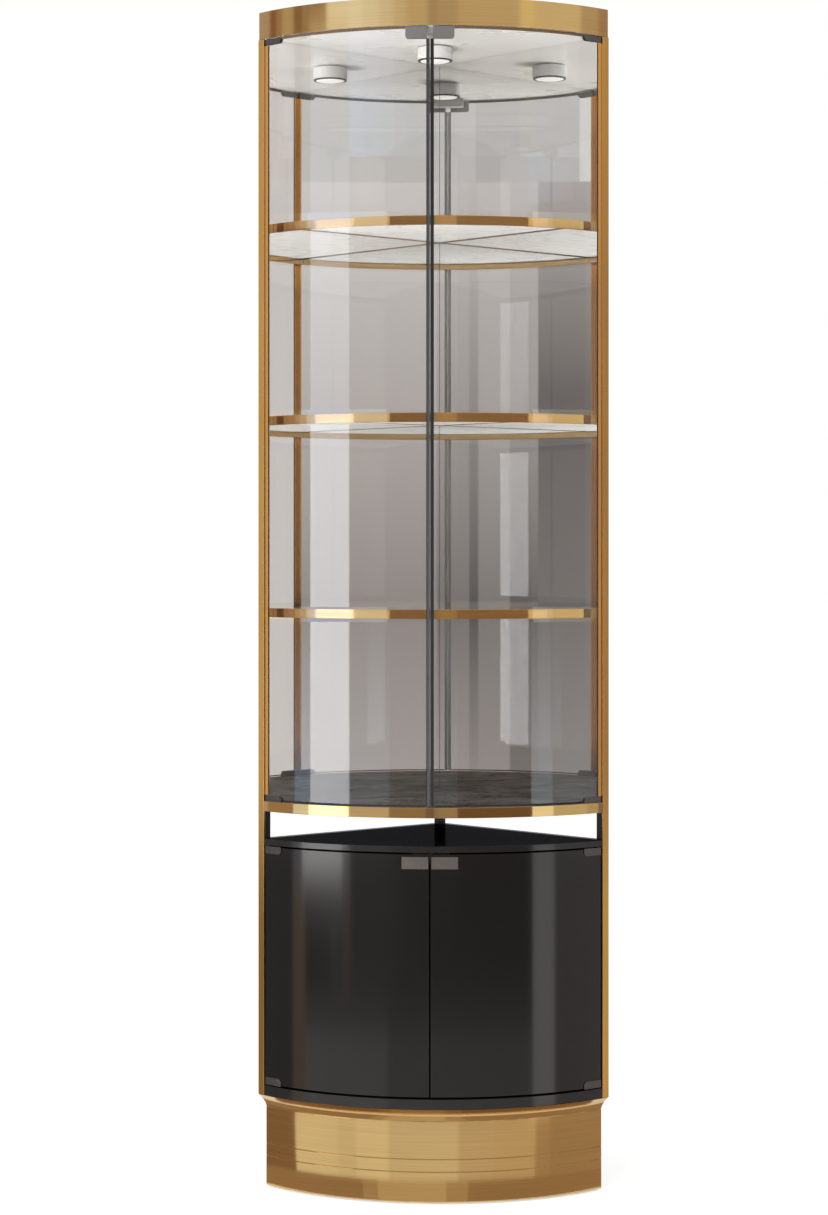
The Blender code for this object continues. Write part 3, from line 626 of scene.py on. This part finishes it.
def textured(name, colour, roughness, grain, change, depth=0.00002, kind="plain", **sockets):
    """Board, paint, plastic or rubber: a grain of its own size under a cloudy tone."""
    look = Look(name, **sockets)
    fine = look.noise(look.place(kind, grain), detail=4.0, roughness=0.55)
    clouds = look.noise(look.place(stretch=even(9.0)))
    look.tint(look.mixed(fine, GRAIN_SHARE, clouds), colour, change)
    look.into(look.span(clouds, roughness * 0.85, roughness * 1.2), "Roughness")
    look.relief(fine, depth)
    return look.material


def stone():
    """Dark polished stone: cloudy ground, pale crystals and a few fine veins."""
    look = Look("polished_stone", Specular_IOR_Level=0.0, Coat_Weight=0.05, Coat_Roughness=0.10)
    spot = look.place()
    clouds = look.noise(spot, 16.0, detail=6.0, roughness=0.6, distortion=0.5)
    crystals = look.cells(spot, 240.0)
    veins = look.noise(spot, 7.0, detail=5.0, roughness=0.65, distortion=1.6)
    ridge = look.math("ABSOLUTE", look.math("SUBTRACT", veins, 0.5))
    ground = look.math("ADD", clouds, look.math("MULTIPLY", crystals, 0.35))
    tone = look.math("SUBTRACT", ground, look.span(ridge, 0.16, 0.0, 0.0, 0.03))
    look.into(look.ramp(tone, (0.30, (0.020, 0.019, 0.018)), (0.55, (0.062, 0.058, 0.055)),
                        (0.78, (0.150, 0.143, 0.138))), "Base Color")
    look.into(look.span(clouds, 0.10, 0.24), "Roughness")
    look.relief(crystals, 0.00001)
    return look.material


def lacquer_board():
    """Black lacquered board, dull on its flat faces and glossy on its upright edges."""
    look = Look("black_lacquer_board", Specular_IOR_Level=0.0, Coat_Roughness=0.12)
    fine = look.noise(look.place("walls", even(60.0)), detail=4.0, roughness=0.55)
    split = look.node("SeparateXYZ")
    look.link(look.node("NewGeometry").outputs["True Normal"], split.inputs[0])
    level = look.math("ABSOLUTE", split.outputs[2])
    look.into(look.span(level, 1.0, 0.03, 0.2, 0.8), "Coat Weight")
    look.tint(fine, (0.006, 0.006, 0.006), 0.15)
    look.into(look.span(fine, 0.42, 0.6), "Roughness")
    look.relief(fine, 0.000004)
    return look.material


def veined_panel():
    """Glossy white panel with faint grey veins."""
    look = Look("white_gloss_panel", Specular_IOR_Level=0.0, Coat_Weight=0.10, Coat_Roughness=0.06)
    spot = look.place()
    flow = look.noise(spot, 5.5, detail=6.0, roughness=0.6, distortion=2.2)
    ridge = look.math("ABSOLUTE", look.math("SUBTRACT", flow, 0.5))
    clouds = look.noise(spot, 3.0)
    tone = look.math("ADD", look.span(ridge, 0.0, 0.75, 0.0, 0.05), look.math("MULTIPLY", clouds, 0.25))
    look.into(look.ramp(tone, (0.05, (0.66, 0.66, 0.665)), (0.40, (0.87, 0.87, 0.865)),
                        (0.95, (0.92, 0.92, 0.915))), "Base Color")
    look.into(look.span(clouds, 0.12, 0.22), "Roughness")
    look.relief(flow, 0.00002)
    return look.material


def mirror_glass():
    look = Look("mirror_glass", Metallic=1.0)
    clouds = look.noise(look.place(), 3.0, detail=2.0)
    look.tint(clouds, (0.885, 0.882, 0.878), 0.012)
    look.into(look.span(clouds, 0.004, 0.016), "Roughness")
    return look.material


def clear_glass():
    """Clear glass. Shadows and soft light pass through it, so that the inside stays lit."""
    look = Look("clear_door_glass", Roughness=0.0, IOR=1.5, Transmission_Weight=1.0)
    clouds = look.noise(look.place(), 2.0, detail=2.0)
    look.tint(clouds, (0.985, 0.985, 0.982), 0.01)
    rays = look.node("LightPath")
    through = look.node("BsdfTransparent")
    through.inputs["Color"].default_value = (0.95, 0.95, 0.948, 1.0)
    both = look.node("MixShader")
    soft = look.math("MAXIMUM", rays.outputs["Is Shadow Ray"], rays.outputs["Is Diffuse Ray"])
    look.link(soft, both.inputs["Fac"])
    look.link(look.shader.outputs[0], both.inputs[1])
    look.link(through.outputs[0], both.inputs[2])
    look.link(both.outputs[0], look.tree.nodes["Material Output"].inputs["Surface"])
    return look.material


def frosted_lens():
    """Frosted diffuser, brightest in its middle, with a fine prismatic pattern."""
    look = Look("frosted_lens", Roughness=0.35)
    spot = look.place()
    split = look.node("SeparateXYZ")
    look.link(spot, split.inputs[0])
    spread = look.length(*split.outputs[:2])
    cells = look.cells(spot, 900.0)
    tone = look.math("ADD", look.span(spread, 1.0, 0.55, 0.0, 0.024), look.math("MULTIPLY", cells, 0.15))
    glow = look.ramp(tone, (0.4, (0.62, 0.60, 0.57)), (1.0, (1.0, 0.98, 0.93)))
    look.into(glow, "Emission Color")
    look.shader.inputs["Emission Strength"].default_value = LENS_GLOW
    look.tint(cells, (0.86, 0.86, 0.84), 0.04)
    look.relief(cells, 0.00006)
    return look.material


BRUSHED_ROUND = brushed("brushed_gold_round", GOLD, 0.095, "round", (5.0, 220.0, 620.0), 0.11)
POLISHED_ROUND = brushed("polished_gold_round", GOLD, 0.05, "round", (7.0, 260.0, 520.0), 0.07, 0.000002)
# Posts and rails take the lighter copy of the gold: painted light
BRUSHED_UPRIGHT = brushed("brushed_gold_upright", LIT_POST_GOLD, 0.16, "walls", (620.0, 620.0, 4.0), 0.10,
                          0.000008)
# Trim on the glass doors' outer edges: a lighter copy of the gold, painted light for the bright strip along
# the post's inner face
LIT_TRIM_GOLD = brushed("lit_pale_gold_trim", (0.82, 0.50, 0.16), 0.16, "walls", (620.0, 620.0, 4.0), 0.06,
                     0.00001)
STRIKE_METAL = brushed("satin_nickel", (0.30, 0.288, 0.28), 0.34, "round", (900.0, 900.0, 60.0), 0.07)
CLAMP_METAL = brushed("dark_gunmetal", (0.135, 0.127, 0.122), 0.36, "round", (900.0, 900.0, 60.0), 0.09)
# The ring round the lamp's lens: a real trim, made near black as painted shade for the groove between body
# and lens
GROOVE_SHADE_RING = brushed("groove_shade_ring", (0.05, 0.05, 0.05), 0.40, "plain", even(300.0), 0.10)
BLACK_BOARD = textured("black_board", (0.011, 0.011, 0.012), 0.34, (900.0, 900.0, 40.0), 0.18,
                       kind="walls", Specular_IOR_Level=0.3)
PANEL_EDGE = lacquer_board()
BLACK_GLOSS = textured("black_gloss_door", (0.0032, 0.0030, 0.0029), 0.20, even(24.0), 0.12, 0.000012,
                       Specular_IOR_Level=0.0, Coat_Weight=1.0, Coat_Roughness=0.11)
STONE = stone()
WHITE_PANEL = veined_panel()
CEILING_PAINT = textured("white_ceiling_paint", (0.87, 0.865, 0.85), 0.30, even(420.0), 0.015,
                         Specular_IOR_Level=0.2, Coat_Weight=0.10, Coat_Roughness=0.08)
MIRROR_GLASS = mirror_glass()
CLEAR_GLASS = clear_glass()
LAMP_PAINT = textured("white_powder_coat", (0.72, 0.72, 0.71), 0.38, even(1500.0), 0.02)
LENS = frosted_lens()
PALE_PLASTIC = textured("pale_moulded_plastic", (0.52, 0.515, 0.51), 0.45, even(1200.0), 0.03)
SMOKE_PLASTIC = textured("smoke_grey_seal", (0.050, 0.048, 0.046), 0.55, even(1200.0), 0.05,
                         Specular_IOR_Level=0.1)
# A dark bronze strip over the glass doors' top edges: partly a seal, partly painted shade for the shadow
# gap under the crown
BRONZE_SHADE_STRIP = textured("bronze_shade_strip", (0.13, 0.08, 0.045), 0.55, even(1200.0), 0.08,
                       Specular_IOR_Level=0.2)
BLACK_PLASTIC = textured("black_moulded_plastic", (0.030, 0.030, 0.031), 0.48, even(1400.0), 0.12, 0.00003)
GREY_PLASTIC = textured("grey_moulded_plastic", (0.42, 0.42, 0.41), 0.48, even(1200.0), 0.06, 0.00003)
RUBBER = textured("black_rubber", (0.012, 0.012, 0.012), 0.62, even(800.0), 0.15, 0.00003,
                  Specular_IOR_Level=0.2)


# Places and outlines about the corner's axis

def beside(u, v):
    """A place by its distances along the left and the right wall."""
    return ((v - u) / math.sqrt(2.0), -(u + v) / math.sqrt(2.0))


def arc(radius, start, end):
    steps = max(2, math.ceil((end - start) / FINE_STEP))
    angles = [math.radians(start + (end - start) * i / steps) for i in range(steps + 1)]
    return [(radius * math.sin(angle), -radius * math.cos(angle)) for angle in angles]


def quarter(first=0.0):
    """The angles of a quarter of a circle, in even steps."""
    return [math.radians(first + 90.0 * i / CORNER_STEPS) for i in range(CORNER_STEPS + 1)]


def fan(radius, edge, corner=0.0):
    """Outline between the walls. Edge is how far its straight sides stand off them."""
    if edge >= 0.0:
        half = WALL_TURN - math.degrees(math.asin(edge / radius))
        return [beside(edge, edge)] + arc(radius, -half, half)
    side = [(radius, edge)]
    if corner:
        side = []
        for angle in quarter():
            side.append((radius - corner * (1.0 - math.sin(angle)),
                         edge + corner * (1.0 - math.cos(angle))))
    left = [beside(u, v) for u, v in side]
    right = [beside(v, u) for u, v in reversed(side)]
    return [beside(edge, edge)] + left + arc(radius, -WALL_TURN, WALL_TURN) + right


def band(inner, outer, start, end):
    return arc(outer, start, end) + arc(inner, start, end)[::-1]


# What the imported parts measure

def corners(node):
    return [vertex.co for vertex in frame["nodes"][node].data.vertices]


def radii(node, top=math.inf):
    """Least and greatest distance of a part's corners from the axis, up to a level."""
    spans = [math.hypot(c.x, c.y - CORNER_Y) for c in corners(node) if c.z <= top]
    return min(spans), max(spans)


def turns(node):
    spans = [math.degrees(math.atan2(c.x, CORNER_Y - c.y)) for c in corners(node)]
    return min(spans), max(spans)


def levels(node):
    low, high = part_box(node)
    return low.z, high.z


# Making pieces

def new_object(name, shape, place=(0.0, CORNER_Y, 0.0)):
    bmesh.ops.recalc_face_normals(shape, faces=shape.faces)
    thing = mesh_object(name, shape)
    thing.location = place
    return thing


def extruded(points, move):
    """A closed shape between a face over points and the same face moved."""
    shape = bmesh.new()
    face = shape.faces.new([shape.verts.new(point) for point in points])
    raised = bmesh.ops.extrude_face_region(shape, geom=[face])["geom"]
    moved = [part for part in raised if isinstance(part, bmesh.types.BMVert)]
    bmesh.ops.translate(shape, verts=moved, vec=move)
    return shape


def solid(name, outline, bottom, top):
    """A closed upright solid over an outline about the axis."""
    points = [(x, y, bottom) for x, y in outline]
    return new_object(name, extruded(points, (0.0, 0.0, top - bottom)))


def rod(radius, start, end):
    """A round cutter or pin between two places."""
    start, end = Vector(start), Vector(end)
    shape = bmesh.new()
    bmesh.ops.create_cone(shape, cap_ends=True, segments=ROUND_STEPS // 2, radius1=radius, radius2=radius,
                          depth=(end - start).length)
    thing = new_object("rod", shape, (start + end) / 2.0)
    thing.rotation_euler = (end - start).to_track_quat("Z", "Y").to_euler()
    return thing


def turned(name, profile, place):
    """A profile of radius and level points, turned about an upright line."""
    shape = bmesh.new()
    points = [shape.verts.new((radius, 0.0, level)) for radius, level in profile]
    edges = [shape.edges.new(pair) for pair in zip(points, points[1:])]
    bmesh.ops.spin(shape, geom=points + edges, axis=(0.0, 0.0, 1.0), cent=(0.0, 0.0, 0.0),
                   angle=math.radians(360.0), steps=ROUND_STEPS, use_merge=True)
    bmesh.ops.remove_doubles(shape, verts=shape.verts, dist=MERGE)
    return new_object(name, shape, place)


def join_facets(shape, angle):
    bmesh.ops.remove_doubles(shape, verts=shape.verts, dist=MERGE)
    bmesh.ops.dissolve_limit(shape, angle_limit=angle, verts=shape.verts, edges=shape.edges)


def curved(name, node):
    """A solid with a curved part's own radii, turns and levels."""
    return solid(name, band(*radii(node), *turns(node)), *levels(node))


def carve(thing, cutter, operation="DIFFERENCE"):
    """Cuts or joins a cutter at once, and removes it."""
    step = thing.modifiers.new("carve", "BOOLEAN")
    step.operation = operation
    step.object = cutter
    step.solver = "EXACT"
    evaluated = thing.evaluated_get(bpy.context.evaluated_depsgraph_get())
    mesh = bpy.data.meshes.new_from_object(evaluated)
    thing.modifiers.remove(step)
    old = thing.data
    thing.data = mesh
    bpy.data.meshes.remove(old)
    bpy.data.objects.remove(cutter, do_unlink=True)
    shape = bmesh.new()
    shape.from_mesh(mesh)
    join_facets(shape, CUT_FLAT)
    shape.to_mesh(mesh)
    shape.free()


def dress(thing, look, slot, body, *nodes, edge=0.0):
    """Finishes a piece: soft edges, smooth shading, material, body, and what it stands for. The slot is not
    used.
    """
    mesh = thing.data
    mesh.materials.clear()
    mesh.materials.append(look)
    mesh.shade_smooth()
    mesh.set_sharp_from_angle(angle=EDGE_ANGLE)
    if edge:
        bevel = thing.modifiers.new("edges", "BEVEL")
        bevel.width = edge
        bevel.segments = EDGE_STEPS
        bevel.limit_method = "ANGLE"
        bevel.angle_limit = EDGE_ANGLE
        bevel.harden_normals = True
    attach(thing, body)
    if nodes:
        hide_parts(*nodes)


def finish_as(thing, node, look, slot, edge):
    dress(thing, look, slot, frame["nodes"][node]["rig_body"], node, edge=edge)


def refine(node, look, slot, edge=BOARD_EDGE):
    """A straight part again with its facets joined and its edges softened."""
    shape = bmesh.new()
    shape.from_mesh(frame["nodes"][node].data)
    join_facets(shape, FLAT)
    bmesh.ops.translate(shape, verts=shape.verts, vec=(0.0, -CORNER_Y, 0.0))
    finish_as(new_object(f"{node}_fine", shape), node, look, slot, edge)


def keep(node, look):
    """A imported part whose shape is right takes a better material."""
    for place in frame["nodes"][node].material_slots:
        place.material = look


# Plinth

def make_skirt():
    bottom, top = levels("plinth_skirt")
    base = radii("plinth_skirt", bottom + MERGE)[1]
    out = FRONT_RADIUS - base
    foot = top - FLARE_HEIGHT
    outside = [(base, bottom)]
    for level, depth in (*GROOVES, (foot, CREASE_DEPTH)):
        half = GROOVE_HEIGHT / 2.0
        outside += [(base, level - half), (base - depth, level - half / 2.0),
                    (base - depth, level + half / 2.0), (base, level + half)]
    inside = [(base - SKIRT_SHEET, bottom), (base - SKIRT_SHEET, foot)]
    for i in range(1, FLARE_STEPS + 1):
        part = i / FLARE_STEPS
        radius = base + out * part ** FLARE_POWER
        level = foot + FLARE_HEIGHT * part
        if level > foot + GROOVE_HEIGHT:
            outside.append((radius, level))
        inside.append((radius - SKIRT_SHEET, level))
    section = outside + inside[::-1]
    shape = bmesh.new()
    lines = []
    for radius, level in section:
        path = [beside(radius, -POST)] + arc(radius, -WALL_TURN, WALL_TURN) + [beside(-POST, radius)]
        lines.append([shape.verts.new((x, y, level)) for x, y in path])
    for first, second in zip(lines, lines[1:] + lines[:1]):
        for i in range(len(first) - 1):
            shape.faces.new((first[i], first[i + 1], second[i + 1], second[i]))
    shape.faces.new([line[0] for line in lines])
    shape.faces.new([line[-1] for line in lines][::-1])
    skirt = new_object("plinth_skirt_fine", shape)
    finish_as(skirt, "plinth_skirt", BRUSHED_ROUND, "gold_metal", PLATE_EDGE)


def make_plinth():
    make_skirt()
    refine("plinth_back", BLACK_BOARD, "black_board", PLATE_EDGE)
    keep("plinth_board", BLACK_BOARD)
    for name in ("left", "right", "rear", "front"):
        keep(f"glide_{name}", GREY_PLASTIC)


# Frame, cupboard and display floor

def hinge_places(kind):
    hinges = [joint for joint in frame["joints"] if joint["name"].startswith(f"{kind}_door_hinge")]
    return [Vector(joint["pos_m"]) for joint in hinges]


def drill_pins(panel, node, kind, above):
    """Holes for the doors' pivot pins in the panel above or below the doors."""
    low, high = levels(node)
    pin_low, pin_high = levels(f"{kind}_clamp_left_{'top' if above else 'bottom'}")
    bottom, top = (low - PAST, pin_high + GAP) if above else (pin_low - GAP, high + PAST)
    for place in hinge_places(kind):
        carve(panel, rod(PIN_RADIUS + PIN_ROOM, (place.x, place.y, bottom), (place.x, place.y, top)))


def make_frame():
    for side in ("left", "right"):
        refine(f"side_post_{side}", BRUSHED_UPRIGHT, "gold_metal", SHEET_EDGE)
        refine(f"lower_post_{side}", BLACK_BOARD, "black_board", SHEET_EDGE)
        refine(f"lower_back_{side}", BLACK_BOARD, "black_board")
        refine(f"back_panel_{side}", BLACK_BOARD, "black_board")
        refine(f"mirror_{side}", MIRROR_GLASS, "mirror", PLATE_EDGE)
    refine("rear_post", BLACK_BOARD, "black_board", REAR_POST_EDGE)


def make_cupboard_boards():
    for node, above in (("lower_bottom_panel", False), ("lower_top_panel", True)):
        board = solid(f"{node}_fine", fan(FRONT_RADIUS, GAP), *levels(node))
        drill_pins(board, node, "lower", above)
        finish_as(board, node, PANEL_EDGE, "black_board", BOARD_EDGE)


def make_display_floor():
    low, high = levels("floor_tray")
    tray = solid("floor_tray_fine", fan(FRONT_RADIUS, GAP), low, high)
    inside = fan(FRONT_RADIUS - FLOOR_LIP, -POST)
    carve(tray, solid("inside", inside, low + FLOOR_SHEET, high + PAST))
    finish_as(tray, "floor_tray", POLISHED_ROUND, "gold_metal", SHEET_EDGE)
    slab = solid("floor_slab_fine", fan(radii("floor_slab")[1], GAP), *levels("floor_slab"))
    drill_pins(slab, "floor_slab", "glass", False)
    finish_as(slab, "floor_slab", STONE, "dark_stone", BOARD_EDGE)


def make_shelf(number):
    node = f"shelf_tray_{number}"
    low, high = levels(node)
    radius = radii(node)[1]
    tray = solid(f"{node}_fine", fan(radius, GAP), low, high)
    inside = fan(radius - SHELF_SHEET, -POST)
    carve(tray, solid("inside", inside, low - PAST, high - SHELF_SHEET))
    finish_as(tray, node, POLISHED_ROUND, "gold_metal", SHEET_EDGE)
    node = f"shelf_liner_{number}"
    liner = solid(f"{node}_fine", fan(radii(node)[1], RAIL_WIDTH + GAP), *levels(node))
    finish_as(liner, node, WHITE_PANEL, "white_panel", PLATE_EDGE)
    refine(f"shelf_rail_{number}", BRUSHED_UPRIGHT, "gold_metal", PLATE_EDGE)


# Crown and lamp

def make_crown():
    low, high = levels("crown_cap")
    cap = solid("crown_cap_fine", fan(FRONT_RADIUS, -POST, CROWN_CORNER), low, high)
    hollow = fan(FRONT_RADIUS - CROWN_SHEET, -POST + CROWN_SHEET, CROWN_CORNER - CROWN_SHEET)
    carve(cap, solid("inside", hollow, low - PAST, high - CROWN_SHEET))
    hole_y = CORNER_Y - GLAND_BACK
    carve(cap, rod(GLAND_HOLE, (0.0, hole_y, high - PAST), (0.0, hole_y, high + PAST)))
    finish_as(cap, "crown_cap", BRUSHED_ROUND, "gold_metal", CROWN_EDGE)

    inset = CROWN_SHEET + GAP
    outline = fan(FRONT_RADIUS - inset, -POST + inset, CROWN_CORNER - inset)
    panel = solid("ceiling_panel_fine", outline, *levels("ceiling_panel"))
    drill_pins(panel, "ceiling_panel", "glass", True)
    finish_as(panel, "ceiling_panel", CEILING_PAINT, "white_panel", PLATE_EDGE)
    keep("lamp_driver", GREY_PLASTIC)
    keep("cable_gland", RUBBER)


def make_lamp():
    low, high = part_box("spotlight_body")
    radius = (high.x - low.x) / 2.0
    place = (0.0, (low.y + high.y) / 2.0, 0.0)
    lens_low, lens_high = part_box("spotlight_lens")
    lens_radius = (lens_high.x - lens_low.x) / 2.0
    recess = lens_radius + GAP
    ring_low, ring_high = levels("spotlight_ring")
    neck_in, neck_height = LAMP_NECK
    body = turned("spotlight_body_fine", [
        (0.0, high.z), (radius - neck_in, high.z), (radius - neck_in, high.z - neck_height),
        (radius, high.z - neck_height), (radius, low.z), (recess, low.z), (recess, lens_high.z + GAP),
        (0.0, lens_high.z + GAP)], place)
    finish_as(body, "spotlight_body", LAMP_PAINT, "lamp_white", LAMP_EDGE)
    outer = (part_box("spotlight_ring")[1].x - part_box("spotlight_ring")[0].x) / 2.0
    # Dark ring round the lens: painted shade for the groove there
    ring = turned("spotlight_ring_fine", [
        (outer, ring_high), (outer, ring_low), (recess, ring_low), (recess, ring_high),
        (outer, ring_high)], place)
    finish_as(ring, "spotlight_ring", GROOVE_SHADE_RING, "lamp_ring", PLATE_EDGE)
    rim = lens_low.z + LENS_DOME
    lens = [(0.0, lens_high.z), (lens_radius, lens_high.z)]
    for angle in quarter():
        lens.append((lens_radius * math.cos(angle), rim - LENS_DOME * math.sin(angle)))
    finish_as(turned("spotlight_lens_fine", lens, place), "spotlight_lens", LENS, "lamp_lens", 0.0)


# Doors

def door_slot(kind, bottom, top):
    """The room of a door and its clearance, between two levels."""
    inner, outer = radii(f"{kind}_door_left")
    end = WALL_TURN + SLOT_PAST
    return solid("slot", band(inner - GAP, outer + GAP, -end, end), bottom, top)


def make_clamp(kind, side, up):
    """A clamp round a door's outer corner, with its lower corner cut off, and its pivot pin."""
    node = f"{kind}_clamp_{side}_{'top' if up else 'bottom'}"
    inner, outer = radii(node)
    start, end = turns(node)
    door_low, door_high = levels(f"{kind}_door_{side}")
    plate = outer - radii(f"{kind}_door_{side}")[1] - GAP
    low, high = levels(node)
    trim = CLAMP_TRIM[kind]
    if up:
        cap, foot, pin_end = door_high + GAP + plate, low + trim, high
        slot = door_slot(kind, foot - PAST, door_high + GAP)
    else:
        cap, foot, pin_end = door_low - GAP - plate, high - trim, low
        slot = door_slot(kind, door_low - GAP, foot + PAST)
    clamp = solid(f"{node}_fine", band(inner, outer, start, end), min(cap, foot), max(cap, foot))
    carve(clamp, slot)
    free_turn = end if side == "left" else start
    corner = around((inner + outer) / 2.0, free_turn, foot)
    width = CHAMFER * math.sqrt(2.0)
    shape = bmesh.new()
    bmesh.ops.create_cube(shape, size=1.0)
    bmesh.ops.scale(shape, vec=(width, 2.0 * PAST, width), verts=shape.verts)
    cutter = new_object("chamfer", shape, corner)
    cutter.rotation_euler = (0.0, CHAMFER_SLOPE, math.radians(free_turn))
    carve(clamp, cutter)
    pivot = next(p for p in hinge_places(kind) if (p.x < 0.0) == (side == "left"))
    root = cap - plate / 2.0 if up else cap + plate / 2.0
    carve(clamp, rod(PIN_RADIUS, (pivot.x, pivot.y, root), (pivot.x, pivot.y, pin_end)), "UNION")
    finish_as(clamp, node, CLAMP_METAL, "clamp_metal", PLATE_EDGE)


def rounded_block(width, depth, height, corner, middle, turn):
    """A cutter whose outline, seen from the front, is a plate with its two lower corners rounded."""
    points = [(-width / 2.0, height / 2.0)]
    for side, first in ((-1.0, 180.0), (1.0, 270.0)):
        centre = side * (width / 2.0 - corner)
        for angle in quarter(first):
            level = corner - height / 2.0 + corner * math.sin(angle)
            points.append((centre + corner * math.cos(angle), level))
    points.append((width / 2.0, height / 2.0))
    shape = extruded([(x, -depth / 2.0, z) for x, z in points], (0.0, depth, 0.0))
    cutter = new_object("outline", shape, middle)
    cutter.rotation_euler = (0.0, 0.0, math.radians(turn))
    return cutter


def make_strike(kind, side):
    """The plates at a door's free edge. The glass door's go over its top and have a rounded corner."""
    node = f"{kind}_strike_{side}"
    inner, outer = radii(node)
    start, end = turns(node)
    low, high = levels(node)
    door_low, door_high = levels(f"{kind}_door_{side}")
    strike = curved(f"{node}_fine", node)
    if kind == "glass":
        carve(strike, door_slot(kind, low - PAST, door_high + GAP))
        width = math.radians(end - start) * outer + STRIKE_ROUND
        shift = STRIKE_ROUND / 2.0 * (1.0 if side == "left" else -1.0)
        turn = (start + end) / 2.0 + math.degrees(shift / outer)
        height = 2.0 * (high - low)
        middle = around((inner + outer) / 2.0, turn, low + height / 2.0)
        carve(strike, rounded_block(width, 2.0 * PAST, height, STRIKE_ROUND, middle, turn), "INTERSECT")
    else:
        carve(strike, door_slot(kind, low - PAST, high + PAST))
        middle = (start + end) / 2.0
        level = (low + high) / 2.0
        plate = outer - radii(f"{kind}_door_{side}")[1] - GAP
        near = around(inner + plate / 2.0, middle, level)
        far = around(outer - plate / 2.0, middle, level)
        carve(strike, rod(STUD_RADIUS, near, far), "UNION")
    finish_as(strike, node, STRIKE_METAL, "plate_metal", PLATE_EDGE)


def make_door(kind, side, look, slot):
    node = f"{kind}_door_{side}"
    door = curved(f"{node}_fine", node)
    if kind == "lower":
        inner, outer = radii(node)
        strike = f"lower_strike_{side}"
        middle = sum(turns(strike)) / 2.0
        level = sum(levels(strike)) / 2.0
        near, far = around(inner - PAST, middle, level), around(outer + PAST, middle, level)
        carve(door, rod(STUD_RADIUS + STUD_ROOM, near, far))
    finish_as(door, node, look, slot, GLASS_EDGE)


def strip(name, look, slot, side, inner, outer, across, bottom, top):
    """A slim strip on a glass door, cut out where the glass itself is."""
    door = f"glass_door_{side}"
    start, end = across if side == "left" else (-across[1], -across[0])
    piece = solid(f"{name}_{side}", band(inner, outer, start, end), bottom, top)
    carve(piece, curved("glass", door))
    dress(piece, look, slot, frame["nodes"][door]["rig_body"], edge=SEAL_EDGE)


def make_seals(side):
    """Edge strips on a glass door. Turns count as on the left door, and degrees are those of a metre."""
    node = f"glass_door_{side}"
    inner, outer = radii(node)
    low, high = levels(node)
    start, end = turns(node)
    if side == "right":
        start, end = -end, -start
    degrees = math.degrees(1.0 / outer)
    strike_end = -max(abs(turn) for turn in turns(f"glass_strike_{side}"))
    strike_low = levels(f"glass_strike_{side}")[0]
    clamp_end = -min(abs(turn) for turn in turns(f"glass_clamp_{side}_top"))
    spare = GAP * 2.0
    width, tip = SEAL_SPAN[side]
    past = SEAL_PAST[side]
    inside, outside = inner - SEAL_THICK, outer + SEAL_THICK

    top = strike_low - GAP
    across = (end - width * degrees, end - tip * degrees)
    middle = (inner + outer) / 2.0
    strip("glass_edge_seal", RUBBER, "black_rubber", side, outer - MERGE, outside, across, low, top)
    across = (end - tip * degrees, end + past * degrees)
    strip("glass_edge_lip", SMOKE_PLASTIC, "black_rubber", side, middle, outside, across, low, top)
    across = (end - width * degrees, end + past * degrees)
    strip("glass_edge_back", GREY_PLASTIC, "grey_plastic", side, inside, middle, across, low, top)
    # The strip on the glass's top edge: painted shade for the shadow gap under the crown
    across = (clamp_end + spare * degrees, strike_end - spare * degrees)
    strip("glass_top_shade_strip", BRONZE_SHADE_STRIP, "black_rubber", side, inside, outside, across, high - SEAL_OVERLAP,
          high + TOP_SEAL_RISE)
    across = (clamp_end + spare * degrees, end - (width + spare) * degrees)
    strip("glass_bottom_seal", RUBBER, "black_rubber", side, inside, outside, across, low - SEAL_THICK,
          low + SEAL_OVERLAP)
    bottom = levels(f"glass_clamp_{side}_bottom")[1] - CLAMP_TRIM["glass"] + spare
    top = levels(f"glass_clamp_{side}_top")[0] + CLAMP_TRIM["glass"] - spare
    # The side trim's lighter gold is painted light
    across = (start - TRIM_PAST * degrees, start + TRIM_WIDTH * degrees)
    strip("glass_side_trim", LIT_TRIM_GOLD, "gold_metal", side, inside, outside, across, bottom, top)


def make_doors():
    for side in ("left", "right"):
        make_door("glass", side, CLEAR_GLASS, "clear_glass")
        make_door("lower", side, BLACK_GLOSS, "black_glass")
        for kind in ("glass", "lower"):
            for up in (True, False):
                make_clamp(kind, side, up)
            make_strike(kind, side)
            keep(f"{kind}_plunger_{side}", GREY_PLASTIC)
        make_seals(side)
    refine("glass_latch_body", PALE_PLASTIC, "grey_plastic", PLATE_EDGE)
    keep("lower_latch_body", BLACK_PLASTIC)


make_surroundings()
make_plinth()
make_frame()
make_cupboard_boards()
make_display_floor()
for shelf in SHELVES:
    make_shelf(shelf)
make_crown()
make_lamp()
make_doors()
